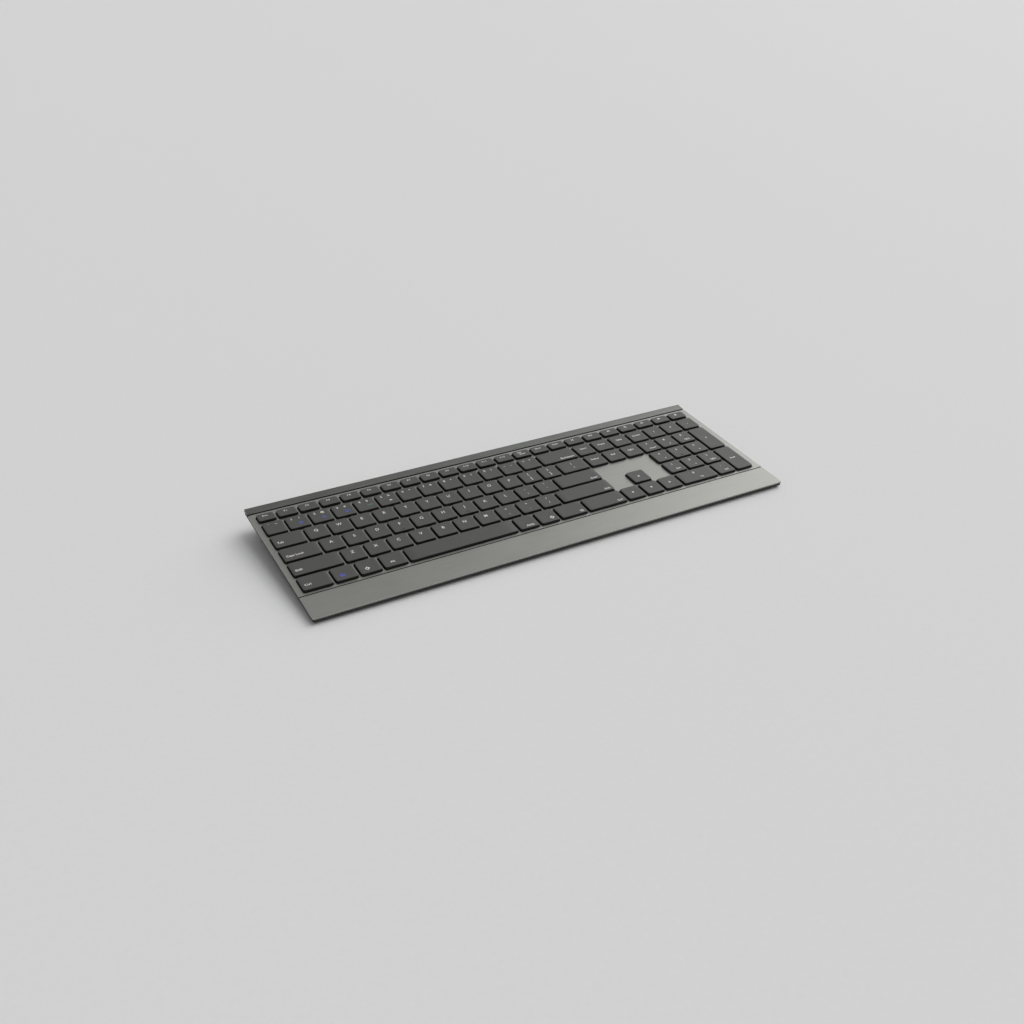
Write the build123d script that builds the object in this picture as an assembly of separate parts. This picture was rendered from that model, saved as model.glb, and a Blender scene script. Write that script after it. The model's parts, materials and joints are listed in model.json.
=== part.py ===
from build123d import *

import os
from dataclasses import dataclass
from functools import lru_cache
from math import asin, atan2, degrees

# A slim wireless keyboard with a full numeric keypad: an aluminium deck over a plastic tray, 112
# scissor-switch keys, and a housing under the rear edge that holds two AAA cells and the controller.
#
# Everything is modelled level in the deck frame and tilted into place at the end.
#   x  along the rows, 0 at the middle of the deck, + towards the numeric keypad
#   y  across the rows, 0 at the front edge of the deck, + towards the function row
#   z  0 on the deck's top face, + out of the deck
# All lengths are in millimetres.

# ---------------------------------------------------------------- driving dimensions
# Deck and tray
deck_width = 427.4          # left edge to right edge
deck_depth = 141.4          # front edge to the rear edge of the aluminium deck
deck_sheet = 1.0            # thickness of the aluminium
deck_corner = 1.6
groove_from_front = 27.0    # middle of the bend groove between the palm strip and the keys
groove_width = 0.7
groove_depth = 0.3
bar_gap = 0.7               # dark joint between the deck and the rear bar
bar_depth = 7.6
bar_front_rise = 0.1        # top of the rear bar over the deck, at its front edge
bar_rear_rise = 1.0         # and at its rear edge
tape_thickness = 0.1        # bonding tape between the metal and the tray
tray_inset = 0.3            # the metal overhangs the tray by this much
tray_wall = 1.8
tray_floor = 1.4
tray_chamfer = 1.0          # slope under the outer edge
ledge_width = 3.0           # rib that carries the deck's rear edge and the bar's front edge
rib_thickness = 1.0
rib_count = 21
rib_clearance = 1.5

# Key grid
unit_count = 22             # key units from the grid's left line to its right line
grid_left = 2.2             # deck edge to the grid's left line
grid_right = 6.1            # grid's right line to the deck edge
left_inset = 1.7            # the first cell of each row starts this far inside the grid
grid_front = 29.2           # deck's front edge to the bottom row's cells
grid_rear = 3.75            # function row's cells to the deck's rear edge
function_gap = 0.9          # extra space in front of the function row
function_depth = 12.3       # depth of the function row's cells
gap_x = 2.5                 # between neighbouring key tops
gap_y = 2.75
hole_clearance = 0.5        # key top to the edge of its opening in the deck
cap_corner = 1.7
hole_corner = 1.9

# Key caps and their mechanism
cap_rise = 2.0              # key top over the deck
cap_height = 2.2
cap_roof = 0.9
cap_wall = 0.9
cap_edge = 0.25             # bevel round the key top
key_travel = 1.6
stem_radius = 2.2           # ring under the cap that keeps the dome centred
stem_wall = 0.5
stem_height = 0.3
frame_width = 11.0          # scissor frames
frame_rail = 0.9
frame_thickness = 0.6
frame_gap = 0.25            # between the outer and the inner frame
frame_span = 10.9           # longest frame, front to rear
frame_end_room = 0.9        # free length that a shallow key leaves round its frames
dome_base_radius = 3.1
dome_top_radius = 1.5
dome_flange = 0.25
dome_wall = 0.35
seat_clearance = 0.05       # between a mechanism's ends and the cap or the membrane

# Stabiliser wires of the long keys
wire_radius = 0.4
wire_key_length = 30.0      # keys at least this long get a wire
wire_end_gap = 1.4
wire_side_gap = 0.45
wire_reach = 8.4            # from the long bar to the turned-in ends
wire_turn = 2.2

# Membrane and switch plate
membrane_drop = 2.2         # deck top to the membrane's top
layer_thickness = 0.1
membrane_margin = 1.2       # membrane beyond the outermost cells
plate_margin = 1.7
plate_thickness = 0.4
contact_radius = 2.0        # hole in the spacer under each dome
tail_from_board = 18.0       # board's left end to the tail
tail_width = 24.0
tail_run_length = 4.4       # behind the membrane's edge before the tail turns down
tail_landing = 12.0
tail_gap = 1.0              # free room round the tail

# Rear housing
housing_inset = 23.7        # deck edge to the housing's end
housing_depth = 15.2        # deck top to the underside of the housing
housing_lead = 19.4         # housing's front face to the deck's rear edge
housing_wall = 1.4
housing_floor = 1.3
housing_corner = 4.0
bulkhead_thickness = 1.4
post_radius = 3.0
post_behind_joint = 3.5     # rear bar's front edge to the posts
post_from_end = 8.0         # housing's end to the outermost posts
post_from_bay = 14.65       # battery bay's end to the posts beside it
post_from_board = 10.0      # board's right end to the post beside it
screw_radius = 1.0
screw_head_radius = 1.9
screw_head = 1.2
screw_length = 6.4
screw_hole_gap = 0.08
head_hole_gap = 0.3
screw_seat = 8.0            # deck top to the face under a screw's head
boss_clearance = 0.4         # metal to the top of the tray's screw bosses
boss_roof = 0.1             # left over the end of a screw hole

# Batteries
cell_radius = 5.25
cell_length = 43.3
nub_radius = 1.9
nub_length = 1.2
cell_from_front = 12.4      # housing's front face to the middle of the cells
cell_drop = 3.2             # deck top to the top of the cells
cell_gap = 0.3              # round the cells in their bay
spring_length = 4.6
spring_radius = 3.2
spring_wire = 0.3
spring_pitch = 1.15
spring_end_gap = 0.05       # between the coil and what it bears on
contact_sheet = 0.4
contact_size = 8.0
strip_height = 3.0
strip_sheet = 0.3
strip_gap = 0.1             # tray's underside to the strip
door_from_front = 5.0       # housing's front face to the door's front edge
door_gap = 0.2
door_lip = 6.0              # height of the door's upturned rear edge
door_overlap = 2.0          # door beyond the bay, at each end
door_travel = 2.8           # the door slides back this far to come free
tongue_free_travel = 1.2    # last part of the travel, with the tongues already out
tongue_width = 9.0
tongue_thickness = 0.8
tongue_count = 3
tongue_gap = 0.1

# Controller board
board_from_end = 52.0       # housing's right end to the board's right end
board_width = 60.0
board_from_front = 5.0      # housing's front face to the board's front edge
board_depth = 13.6
board_drop = 9.6            # deck top to the board's top
board_thickness = 1.0
board_post_radius = 2.2
board_post_inset = 3.6
board_screw_length = 3.6
clamp_depth = 3.0
clamp_thickness = 1.2
clamp_overhang = 4.0
radio_chip = (6.0, 6.0, 0.9)        # width, depth and height of each component
memory_chip = (5.0, 3.0, 1.4)
crystal = (3.2, 2.5, 0.8)
capacitor = (1.2, 0.8, 0.6)
radio_place = (-10.0, 8.3)          # from the board's front right corner to each middle
memory_place = (-10.0, 3.0)
crystal_place = (-3.0, 8.8)
capacitor_place = (9.0, 1.6)        # from the board's front left corner to the first middle
capacitor_pitch = 2.4
capacitor_count = 4

# Power switch
switch_place = (16.0, 5.6)          # from the board's front left corner to the lever
switch_travel = 3.0
switch_body = (8.6, 3.6, 2.1)
lever = 1.2
lever_gap = 0.2
knob_length = 4.6
knob_width = 2.6
knob_proud = 0.5
flange_overlap = 1.6
flange_thickness = 0.8
slide_gap = 0.1

# Rubber feet
foot_width = 40.0
foot_depth = 8.0
foot_corner = 2.0
front_foot_y = 9.0
rear_foot_inset = 4.4       # deck's rear edge to the middle of the rear feet
foot_from_edge = 53.7       # deck edge to the middle of each foot
front_foot_height = 1.6
rear_foot_height = 2.5

# ---------------------------------------------------------------- derived levels and lines
half_width = deck_width / 2
pitch = (deck_width - grid_left - grid_right) / unit_count
row_pitch = (deck_depth - grid_front - grid_rear - function_gap - function_depth) / 5
bar_front = deck_depth + bar_gap
total_depth = bar_front + bar_depth
rim_z = -deck_sheet - tape_thickness
membrane_bottom = -membrane_drop - 3 * layer_thickness
plate_bottom = membrane_bottom - plate_thickness
tray_bottom = plate_bottom - tray_floor
housing_bottom = -housing_depth
housing_inside = housing_bottom + housing_floor
cap_ceiling = cap_rise - cap_roof
mechanism_low = -membrane_drop + seat_clearance
mechanism_high = cap_ceiling - seat_clearance
housing_length = deck_width - 2 * housing_inset
housing_front = deck_depth - housing_lead
post_y = bar_front + post_behind_joint
cell_y = housing_front + cell_from_front
cell_z = -cell_drop - cell_radius
bay_half = cell_length + nub_length + spring_length / 2 + contact_sheet + cell_gap / 2
door_front = housing_front + door_from_front
tongue_length = door_travel - tongue_free_travel
board_right = housing_length / 2 - board_from_end
board_left = board_right - board_width
board_front = housing_front + board_from_front
board_bottom = -board_drop - board_thickness
tail_left = board_left + tail_from_board
switch_x = board_left + switch_place[0]
switch_y = board_front + switch_place[1]
post_end = housing_length / 2 - post_from_end
post_near = bay_half + post_from_bay
post_places = (
    -post_end, -(post_end + post_near) / 2, -post_near, post_near, board_right + post_from_board, post_end,
)
foot_from_middle = half_width - foot_from_edge
rear_foot_y = deck_depth - rear_foot_inset
foot_drop = (housing_depth + rear_foot_height) - (-tray_bottom + front_foot_height)
tilt = degrees(atan2(foot_drop, rear_foot_y - front_foot_y))


# ---------------------------------------------------------------- small helpers
def block(x0, x1, y0, y1, z0, z1):
    """A box given by its limits."""
    return Pos((x0 + x1) / 2, (y0 + y1) / 2, (z0 + z1) / 2) * Box(x1 - x0, y1 - y0, z1 - z0)


def outline(x0, x1, y0, y1, corner):
    """A closed rounded rectangle in the plane z = 0."""
    shape = Pos((x0 + x1) / 2, (y0 + y1) / 2) * RectangleRounded(x1 - x0, y1 - y0, corner)
    return shape.face().outer_wire()


def rectangle(x0, x1, y0, y1):
    """A closed rectangle in the plane z = 0."""
    return Wire.make_polygon([Vector(x0, y0), Vector(x1, y0), Vector(x1, y1), Vector(x0, y1)])


def sheet(edge, holes, bottom, top):
    """A flat sheet between two levels, with its holes."""
    return Pos(0, 0, bottom) * Solid.extrude(Face(edge, holes), Vector(0, 0, top - bottom))


def prism(points, x0, x1):
    """A profile of (y, z) points, extruded along x."""
    wire = Wire.make_polygon([Vector(x0, y, z) for y, z in points])
    return Solid.extrude(Face(wire), Vector(x1 - x0, 0, 0))


def group(shapes):
    """Several solids kept apart in one node."""
    return Compound([solid for shape in shapes for solid in shape.solids()])


# ---------------------------------------------------------------- key layout
@dataclass(frozen=True)
class Key:
    """The cell that one key takes up on the grid."""

    left: float
    right: float
    front: float
    back: float

    @property
    def middle(self):
        """Centre of the cell."""
        return Pos((self.left + self.right) / 2, (self.front + self.back) / 2)

    @property
    def top(self):
        """Width and depth of the key's top."""
        return round(self.right - self.left - gap_x, 4), round(self.back - self.front - gap_y, 4)

    def opening(self):
        """Edge of the hole in the deck through which the cap moves."""
        dx = gap_x / 2 - hole_clearance
        dy = gap_y / 2 - hole_clearance
        return outline(self.left + dx, self.right - dx, self.front + dy, self.back - dy, hole_corner)


def grid_x(units):
    """The x of a line of the key grid, pushed in at the left edge of the block."""
    return -half_width + grid_left + max(units * pitch, left_inset)


def row_edges(row):
    """Front and back of a row: 0 is the bottom row, 4 the number row, 5 the function row."""
    front = grid_front + row * row_pitch
    if row == 5:
        return front + function_gap, front + function_gap + function_depth
    return front, front + row_pitch


def keys(row, start, widths, last_row=None):
    """Neighbouring keys of one row, from their widths in units."""
    front, back = row_edges(row)
    if last_row is not None:
        back = row_edges(last_row)[1]
    lines = [start]
    for width in widths:
        lines.append(lines[-1] + width)
    return [Key(grid_x(a), grid_x(b), front, back) for a, b in zip(lines, lines[1:])]


numpad_rows = {
    4: ("num_lock", "divide", "multiply", "minus"),
    3: ("7", "8", "9"),
    2: ("4", "5", "6"),
    1: ("1", "2", "3"),
}
key_nodes = {
    "function_keys": keys(5, 0, [15 / 16] * 16),
    "media_keys": keys(5, 15, [1] * 7),
    "number_keys": keys(4, 0, [1.05] + [1] * 12),
    "key_backspace": keys(4, 13.05, [1.95]),
    "key_tab": keys(3, 0, [1.5]),
    "letter_keys_upper": keys(3, 1.5, [1] * 12),
    "key_backslash": keys(3, 13.5, [1.5]),
    "key_caps_lock": keys(2, 0, [1.75]),
    "letter_keys_home": keys(2, 1.75, [1] * 11),
    "key_enter": keys(2, 12.75, [2.25]),
    "key_shift_left": keys(1, 0, [2.25]),
    "letter_keys_lower": keys(1, 2.25, [1] * 10),
    "key_shift_right": keys(1, 12.25, [2.75]),
    "modifier_keys_left": keys(0, 0, [1.41, 1.03, 1, 1.1]),
    "key_space": keys(0, 4.54, [5]),
    "modifier_keys_right": keys(0, 9.54, [1.02, 1, 1.39, 2.05]),
    "navigation_keys": keys(4, 15, [1] * 3) + keys(3, 15, [1] * 3),
    "arrow_keys": keys(0, 15, [1] * 3) + keys(1, 16, [1]),
}
for numpad_row, names in numpad_rows.items():
    for column, name in enumerate(names):
        key_nodes[f"key_numpad_{name}"] = keys(numpad_row, 18 + column, [1])
key_nodes["key_numpad_plus"] = keys(2, 21, [1], last_row=3)
key_nodes["key_numpad_enter"] = keys(0, 21, [1], last_row=1)
key_nodes["key_numpad_0"] = keys(0, 18, [2])
key_nodes["key_numpad_decimal"] = keys(0, 20, [1])
all_keys = [key for row in key_nodes.values() for key in row]


# ---------------------------------------------------------------- scissor frames
def span_of(depth):
    """Length of the frames under a key top of this depth."""
    return min(frame_span, depth - 2 * cap_wall - frame_end_room)


def frame(width, depth, lean):
    """A flat frame, leaning so that it reaches from the membrane to the cap."""
    x, y = width / 2, span_of(depth) / 2
    flat = sheet(
        rectangle(-x, x, -y, y),
        [rectangle(-x + frame_rail, x - frame_rail, -y + frame_rail, y - frame_rail)],
        -frame_thickness / 2,
        frame_thickness / 2,
    )
    rise = mechanism_high - mechanism_low - frame_thickness
    angle = degrees(asin(rise / span_of(depth)))
    return Pos(0, 0, (mechanism_low + mechanism_high) / 2) * Rot(X=lean * angle) * flat


@lru_cache(maxsize=None)
def outer_frame(depth):
    """The frame that is low at the front and lifts the rear of the key."""
    return frame(frame_width, depth, 1)


@lru_cache(maxsize=None)
def inner_frame(depth):
    """The frame that crosses inside the outer one."""
    return frame(frame_width - 2 * (frame_rail + frame_gap), depth, -1)


# ---------------------------------------------------------------- stabiliser wires
def has_wire(width, depth):
    """Long keys carry a wire so that they stay level."""
    return max(width, depth) >= wire_key_length


@lru_cache(maxsize=None)
def stabiliser(width, depth):
    """A wire along the key's longer side: a long bar, two arms and turned-in ends."""
    half = max(width, depth) / 2 - cap_wall - wire_end_gap - wire_radius
    front = -(min(width, depth) / 2 - cap_wall - wire_side_gap - wire_radius)
    high = (front, mechanism_high - wire_radius)
    low = (front + wire_reach, mechanism_low + wire_radius)
    route = Polyline(
        (-half + wire_turn, *low), (-half, *low), (-half, *high),
        (half, *high), (half, *low), (half - wire_turn, *low),
    )
    section = Plane(route @ 0, z_dir=route % 0) * Circle(wire_radius)
    wire = sweep(section, path=route, transition=Transition.ROUND)
    return Rot(Z=90) * wire if depth > width else wire


# ---------------------------------------------------------------- key caps
@lru_cache(maxsize=None)
def keycap(width, depth):
    """A cap open underneath, with a ring that keeps its dome centred."""
    bottom = cap_rise - cap_height
    shell = Pos(0, 0, bottom) * extrude(RectangleRounded(width, depth, cap_corner), cap_height)
    shell = chamfer(shell.faces().sort_by(Axis.Z)[-1].edges(), cap_edge)
    inside = RectangleRounded(width - 2 * cap_wall, depth - 2 * cap_wall, cap_corner - cap_wall)
    ring = Circle(stem_radius) - Circle(stem_radius - stem_wall)
    ring = Pos(0, 0, cap_ceiling - stem_height) * extrude(ring, stem_height)
    return (shell - Pos(0, 0, bottom) * extrude(inside, cap_height - cap_roof)).fuse(ring)


@lru_cache(maxsize=None)
def dome(depth):
    """A hollow rubber dome under each cap."""
    base = min(dome_base_radius, span_of(depth) / 2 - frame_rail - frame_gap)
    low, high = -membrane_drop, mechanism_high
    shoulder = high - (high - low) / 3
    profile = [
        (0, high), (dome_top_radius, high), (dome_top_radius, shoulder),
        (base - dome_wall, low + dome_flange), (base, low + dome_flange),
        (base, low), (base - 2 * dome_wall, low),
        (dome_top_radius - dome_wall, shoulder - dome_wall), (0, shoulder - dome_wall),
    ]
    face = Face(Wire.make_polygon([Vector(r, 0, z) for r, z in profile]))
    return revolve(face, Axis.Z)


# ---------------------------------------------------------------- deck, bar, tape
def top_cover():
    """The aluminium deck with an opening for every key."""
    edge = outline(-half_width, half_width, 0, deck_depth, deck_corner)
    deck = sheet(edge, [key.opening() for key in all_keys], -deck_sheet, 0)
    half_groove = groove_width / 2
    y0, y1 = groove_from_front - half_groove, groove_from_front + half_groove
    return deck - block(-half_width, half_width, y0, y1, -groove_depth, groove_depth)


def rear_bar():
    """The brushed bar behind the function row, rising to the rear."""
    bottom = rim_z + tape_thickness
    profile = [
        (bar_front, bottom), (bar_front, bar_front_rise),
        (total_depth - bar_rear_rise / 2, bar_rear_rise), (total_depth, bar_rear_rise / 2),
        (total_depth, bottom),
    ]
    bar = prism(profile, -half_width, half_width)
    return fillet(bar.edges().filter_by(Axis.Z).group_by(Axis.Y)[-1], deck_corner / 2)


def tape():
    """Bonding tape on the tray's rim, on its rear ledge and under the bar's rear edge."""
    inset, wall = tray_inset, tray_wall
    x = half_width - inset
    outer = outline(-x, x, inset, total_depth - inset, deck_corner - inset)
    inner_x = x - wall
    windows = [
        outline(-inner_x, inner_x, inset + wall, ledge_y()[0], 0.5),
        outline(-inner_x, inner_x, ledge_y()[1], total_depth - inset - wall, 0.5),
    ]
    whole = sheet(outer, windows, rim_z, -deck_sheet)
    return whole - block(-half_width, half_width, deck_depth, bar_front, rim_z, 0)


def ledge_y():
    """Front and back of the rib under the joint between the deck and the bar."""
    middle = deck_depth + bar_gap / 2
    return middle - ledge_width / 2, middle + ledge_width / 2


# ---------------------------------------------------------------- membrane and switch plate
def block_limits(margin):
    """Limits of the key block with a margin all round."""
    return (
        min(key.left for key in all_keys) - margin, max(key.right for key in all_keys) + margin,
        min(key.front for key in all_keys) - margin, max(key.back for key in all_keys) + margin,
    )


def membrane_layer(level, with_contacts):
    """One polyester layer; the spacer also has a contact hole at every key."""
    holes = []
    if with_contacts:
        holes = [(key.middle * Circle(contact_radius)).face().outer_wire() for key in all_keys]
    bottom = membrane_bottom + level * layer_thickness
    edge = outline(*block_limits(membrane_margin), deck_corner)
    return sheet(edge, holes, bottom, bottom + layer_thickness)


def switch_plate():
    """The steel plate that stiffens the keyboard under the membrane."""
    return sheet(outline(*block_limits(plate_margin), deck_corner), [], plate_bottom, membrane_bottom)


def tail_y():
    """The y at which the membrane tail turns down."""
    return block_limits(membrane_margin)[3] + tail_run_length


def tail_slot():
    """Room for the tail over the tray's ledge and down through its floor."""
    x0, x1 = tail_left - tail_gap, tail_left + tail_width + tail_gap
    front, back = tail_y() - tail_gap, tail_y() + tail_gap
    notch = block(x0, x1, ledge_y()[0] - tail_gap, back, plate_bottom, 0)
    return notch.fuse(block(x0, x1, front, back, tray_bottom, plate_bottom))


def membrane_tail():
    """The strip from the membrane's rear edge down to the board."""
    t = layer_thickness
    x0, x1 = tail_left, tail_left + tail_width
    start, end = block_limits(membrane_margin)[3], tail_y() + t / 2
    high = membrane_bottom + t
    low = -board_drop
    upper = block(x0, x1, start, end, high, high + t)
    drop = block(x0, x1, end - t, end, low, high + t)
    landing = block(x0, x1, end - tail_landing, end, low, low + t)
    return upper.fuse(drop, landing)


# ---------------------------------------------------------------- tray
def screw_holes(radius, bottom, top):
    """Holes at the housing's screws."""
    return [Pos(x, post_y, (bottom + top) / 2) * Cylinder(radius, top - bottom) for x in post_places]


def bottom_cover():
    """The plastic tray: sloped edge, rim, ledge, palm ribs and screw bosses."""
    x, y0, y1 = half_width - tray_inset, tray_inset, total_depth - tray_inset
    corner = deck_corner - tray_inset
    tray = sheet(outline(-x, x, y0, y1, corner), [], tray_bottom, rim_z)
    slope = min(tray_chamfer, corner - 0.1)
    tray = chamfer(tray.faces().sort_by(Axis.Z)[0].edges(), slope)
    inner_x, inner_y0, inner_y1 = x - tray_wall, y0 + tray_wall, y1 - tray_wall
    front_well = block(-inner_x, inner_x, inner_y0, ledge_y()[0], plate_bottom, 0)
    rear_well = block(-inner_x, inner_x, ledge_y()[1], inner_y1, plate_bottom, 0)
    tray = tray - front_well - rear_well
    rib_y1 = block_limits(plate_margin)[2] - rib_clearance
    spacing = 2 * inner_x / (rib_count + 1)
    ribs = [
        block(-inner_x + i * spacing - rib_thickness / 2, -inner_x + i * spacing + rib_thickness / 2,
              inner_y0, rib_y1, plate_bottom, -deck_sheet)
        for i in range(1, rib_count + 1)
    ]
    boss_top = -deck_sheet - boss_clearance
    bosses = screw_holes(post_radius, plate_bottom, boss_top)
    tray = tray.fuse(*ribs, *bosses)
    window = block(-bay_half, bay_half, cell_y - cell_radius, ledge_y()[0], tray_bottom, plate_bottom)
    for hole in screw_holes(screw_radius, tray_bottom, boss_top - boss_roof):
        tray -= hole
    return tray - window - tail_slot()


# ---------------------------------------------------------------- rear housing
def housing_profile(inset):
    """Outline of the housing across the keyboard, shrunk by the wall."""
    y0, y1 = housing_front + inset, total_depth - tray_inset - inset
    bottom = housing_bottom + (housing_floor if inset else 0)
    corner = max(housing_corner - inset, 1)
    shape = Polyline((y0, tray_bottom), (y0, bottom), (y1, bottom), (y1, tray_bottom), (y0, tray_bottom))
    face = make_face(shape)
    return fillet(face.vertices().group_by(Axis.Y)[0], corner)


def housing_solid(inset):
    """The housing's outer or inner volume."""
    length = housing_length - 2 * inset
    section = Plane.YZ.offset(-length / 2) * housing_profile(inset)
    return extrude(section, length)


def door_limits(gap):
    """Region of the housing that the battery door takes the place of."""
    half = bay_half + door_overlap + gap
    top = housing_bottom + door_lip + gap
    return (-half, half, door_front - gap, total_depth, housing_bottom, top)


def rear_housing():
    """The trough under the tray's rear edge, with the battery bay, posts and openings."""
    shell = housing_solid(0) - housing_solid(housing_wall)
    inner = housing_solid(housing_wall)
    y0, y1 = cell_y - cell_radius - cell_gap, cell_y + cell_radius + cell_gap
    outside = bay_half + bulkhead_thickness
    walls = [
        block(-outside, -bay_half, housing_front, total_depth, housing_bottom, tray_bottom),
        block(bay_half, outside, housing_front, total_depth, housing_bottom, tray_bottom),
        block(-bay_half, bay_half, y0 - housing_wall, y0, cell_z, tray_bottom),
        block(-bay_half, bay_half, y1, y1 + housing_wall, cell_z, tray_bottom),
    ]
    walls = [wall & inner for wall in walls]
    posts = [post & housing_solid(0) for post in screw_holes(post_radius, housing_bottom, tray_bottom)]
    height = board_bottom - housing_inside
    board_posts = [
        Pos(x, y, housing_inside + height / 2) * Cylinder(board_post_radius, height)
        for x, y in board_screw_places()
    ]
    shell = shell.fuse(*walls, *posts, *board_posts)
    for hole in screw_holes(screw_head_radius + head_hole_gap, housing_bottom, -screw_seat):
        shell -= hole
    for hole in screw_holes(screw_radius + screw_hole_gap, -screw_seat, tray_bottom):
        shell -= hole
    for x, y in board_screw_places():
        depth = board_screw_length - board_thickness
        shell -= Pos(x, y, board_bottom - depth / 2) * Cylinder(screw_radius, depth)
    slot_length = knob_length + switch_travel + 2 * lever_gap
    slot_x0 = switch_x - knob_length / 2 - lever_gap
    half_slot = knob_width / 2 + lever_gap
    shell -= block(slot_x0, slot_x0 + slot_length, switch_y - half_slot, switch_y + half_slot,
                   housing_bottom, housing_inside)
    return shell - block(*door_limits(door_gap))


def battery_door():
    """The door: floor and upturned rear edge of the housing, with tongues at the front."""
    skin = housing_solid(0) - housing_solid(housing_wall)
    door = skin & block(*door_limits(0))
    half = door_limits(0)[1]
    spacing = 2 * half / tongue_count
    bottom = housing_inside + tongue_gap
    tongues = []
    for i in range(tongue_count):
        x = -half + (i + 0.5) * spacing
        limits = x - tongue_width / 2, x + tongue_width / 2
        arm = block(*limits, door_front - tongue_length, door_front + tongue_length,
                    bottom, bottom + tongue_thickness)
        root = block(*limits, door_front, door_front + tongue_length, housing_inside, bottom)
        tongues.append(arm.fuse(root))
    return door.fuse(*tongues)


# ---------------------------------------------------------------- batteries and contacts
def bay_stations():
    """The x of the bay's ends, inside the contact plates, and of the cells' left faces."""
    left = -bay_half + contact_sheet
    first = left + spring_length
    return left, first, first + cell_length + nub_length


def battery_cells():
    """Two AAA cells end to end, their nubs to the right."""
    cell = Cylinder(cell_radius, cell_length).fuse(
        Pos(0, 0, (cell_length + nub_length) / 2) * Cylinder(nub_radius, nub_length)
    )
    cell = Rot(Y=90) * cell
    return group([Pos(x + cell_length / 2, cell_y, cell_z) * cell for x in bay_stations()[1:]])


def battery_spring():
    """The coil spring behind the left cell."""
    left = bay_stations()[0]
    height = spring_length - 2 * spring_wire - 2 * spring_end_gap
    path = Helix(spring_pitch, height, spring_radius)
    coil = sweep(Plane(path @ 0, z_dir=path % 0) * Circle(spring_wire), path=path)
    return Pos(left + spring_wire + spring_end_gap, cell_y, cell_z) * Rot(Y=90) * coil


def contact_plate(x):
    """A square contact on a bulkhead."""
    half = contact_size / 2
    return block(x, x + contact_sheet, cell_y - half, cell_y + half, cell_z - half, cell_z + half)


def battery_contacts():
    """Both end contacts and the strip that takes the left one back to the board."""
    left = contact_plate(-bay_half)
    right = contact_plate(bay_half - contact_sheet)
    wall_y = cell_y - cell_radius - cell_gap - housing_wall
    strip_top = tray_bottom - strip_gap
    reach = bay_half - bulkhead_thickness
    strip = block(-reach, reach, wall_y - strip_sheet, wall_y,
                  strip_top - strip_height, strip_top)
    return group([left, right, strip])


# ---------------------------------------------------------------- controller
def board_screw_places():
    """The board's two screws, at opposite corners."""
    near = board_post_inset
    return [
        (board_left + near, board_front + board_depth - near),
        (board_left + board_width - near, board_front + near),
    ]


def controller_board():
    """The printed circuit board."""
    board = block(board_left, board_left + board_width, board_front, board_front + board_depth,
                  board_bottom, -board_drop)
    for x, y in board_screw_places():
        board -= Pos(x, y, board_bottom) * Cylinder(screw_radius + screw_hole_gap, 4 * board_thickness)
    return board


def board_components():
    """Radio controller, memory, crystal and capacitors on the board, and the switch body below it."""
    parts = []
    top = -board_drop
    chips = [
        (board_right, radio_place, radio_chip),
        (board_right, memory_place, memory_chip),
        (board_right, crystal_place, crystal),
    ]
    for i in range(capacitor_count):
        chips.append((board_left + i * capacitor_pitch, capacitor_place, capacitor))
    for corner, (across, from_front), (width, depth, height) in chips:
        x, y = corner + across, board_front + from_front
        parts.append(block(x - width / 2, x + width / 2, y - depth / 2, y + depth / 2, top, top + height))
    length, depth, height = switch_body
    x, y = switch_x + switch_travel / 2, switch_y
    body = block(x - length / 2, x + length / 2, y - depth / 2, y + depth / 2,
                 board_bottom - height, board_bottom)
    half = (lever + switch_travel) / 2 + lever_gap
    pocket_top = board_bottom - height / 3
    body -= block(x - half, x + half, y - lever / 2 - lever_gap, y + lever / 2 + lever_gap,
                  board_bottom - height, pocket_top)
    parts.append(body)
    return group(parts)


def tail_clamp():
    """The bar that presses the tail onto the board."""
    x0, x1 = tail_left - clamp_overhang, tail_left + tail_width + clamp_overhang
    y1 = tail_y() - tail_landing / 2
    low = -board_drop + layer_thickness
    bar = block(x0, x1, y1 - clamp_depth, y1, low, low + clamp_thickness)
    ends = [block(x, x + clamp_overhang / 2, y1 - clamp_depth, y1, -board_drop, low)
            for x in (x0, x1 - clamp_overhang / 2)]
    return bar.fuse(*ends)


def power_slider():
    """Knob, flange and switch lever in one moulding."""
    dx, dy = knob_length / 2, knob_width / 2
    flange_bottom = housing_inside + slide_gap
    flange_top = flange_bottom + flange_thickness
    knob = block(-dx, dx, -dy, dy, housing_bottom - knob_proud, flange_top)
    side, end = dy + flange_overlap, dx + flange_overlap + switch_travel
    flange = block(-end, end, -side, side, flange_bottom, flange_top)
    tip = board_bottom - switch_body[2] / 3 - lever_gap
    arm = block(-lever / 2, lever / 2, -lever / 2, lever / 2, flange_top, tip)
    return Pos(switch_x, switch_y) * knob.fuse(flange, arm)


# ---------------------------------------------------------------- fasteners and feet
def screw(length):
    """A pan-head screw with a cross recess, its head's underside at z = 0 and its shank upwards."""
    head = Pos(0, 0, -screw_head / 2) * Cylinder(screw_head_radius, screw_head)
    shank = Pos(0, 0, length / 2) * Cylinder(screw_radius, length)
    recess = Pos(0, 0, -screw_head) * Box(2 * screw_radius, screw_radius / 3, screw_head)
    return head.fuse(shank) - recess - Rot(Z=90) * recess


def case_screws():
    """Six screws hold the housing and two the board."""
    upright = screw(screw_length)
    board = Rot(X=180) * screw(board_screw_length)
    made = [Pos(x, post_y, -screw_seat) * upright for x in post_places]
    made += [Pos(x, y, -board_drop) * board for x, y in board_screw_places()]
    return group(made)


def foot(x, y, top, height):
    """A rubber pad whose underside lies flat on the table."""
    section = RectangleRounded(foot_width, foot_depth, foot_corner)
    pad = Pos(x, y, top - 2 * height) * extrude(section, 2 * height)
    below = Pos(0, 0, -5 * height) * Box(2 * foot_width, 2 * foot_depth, 10 * height)
    return pad - Pos(x, y, top - height) * Rot(X=-tilt) * below


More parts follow.
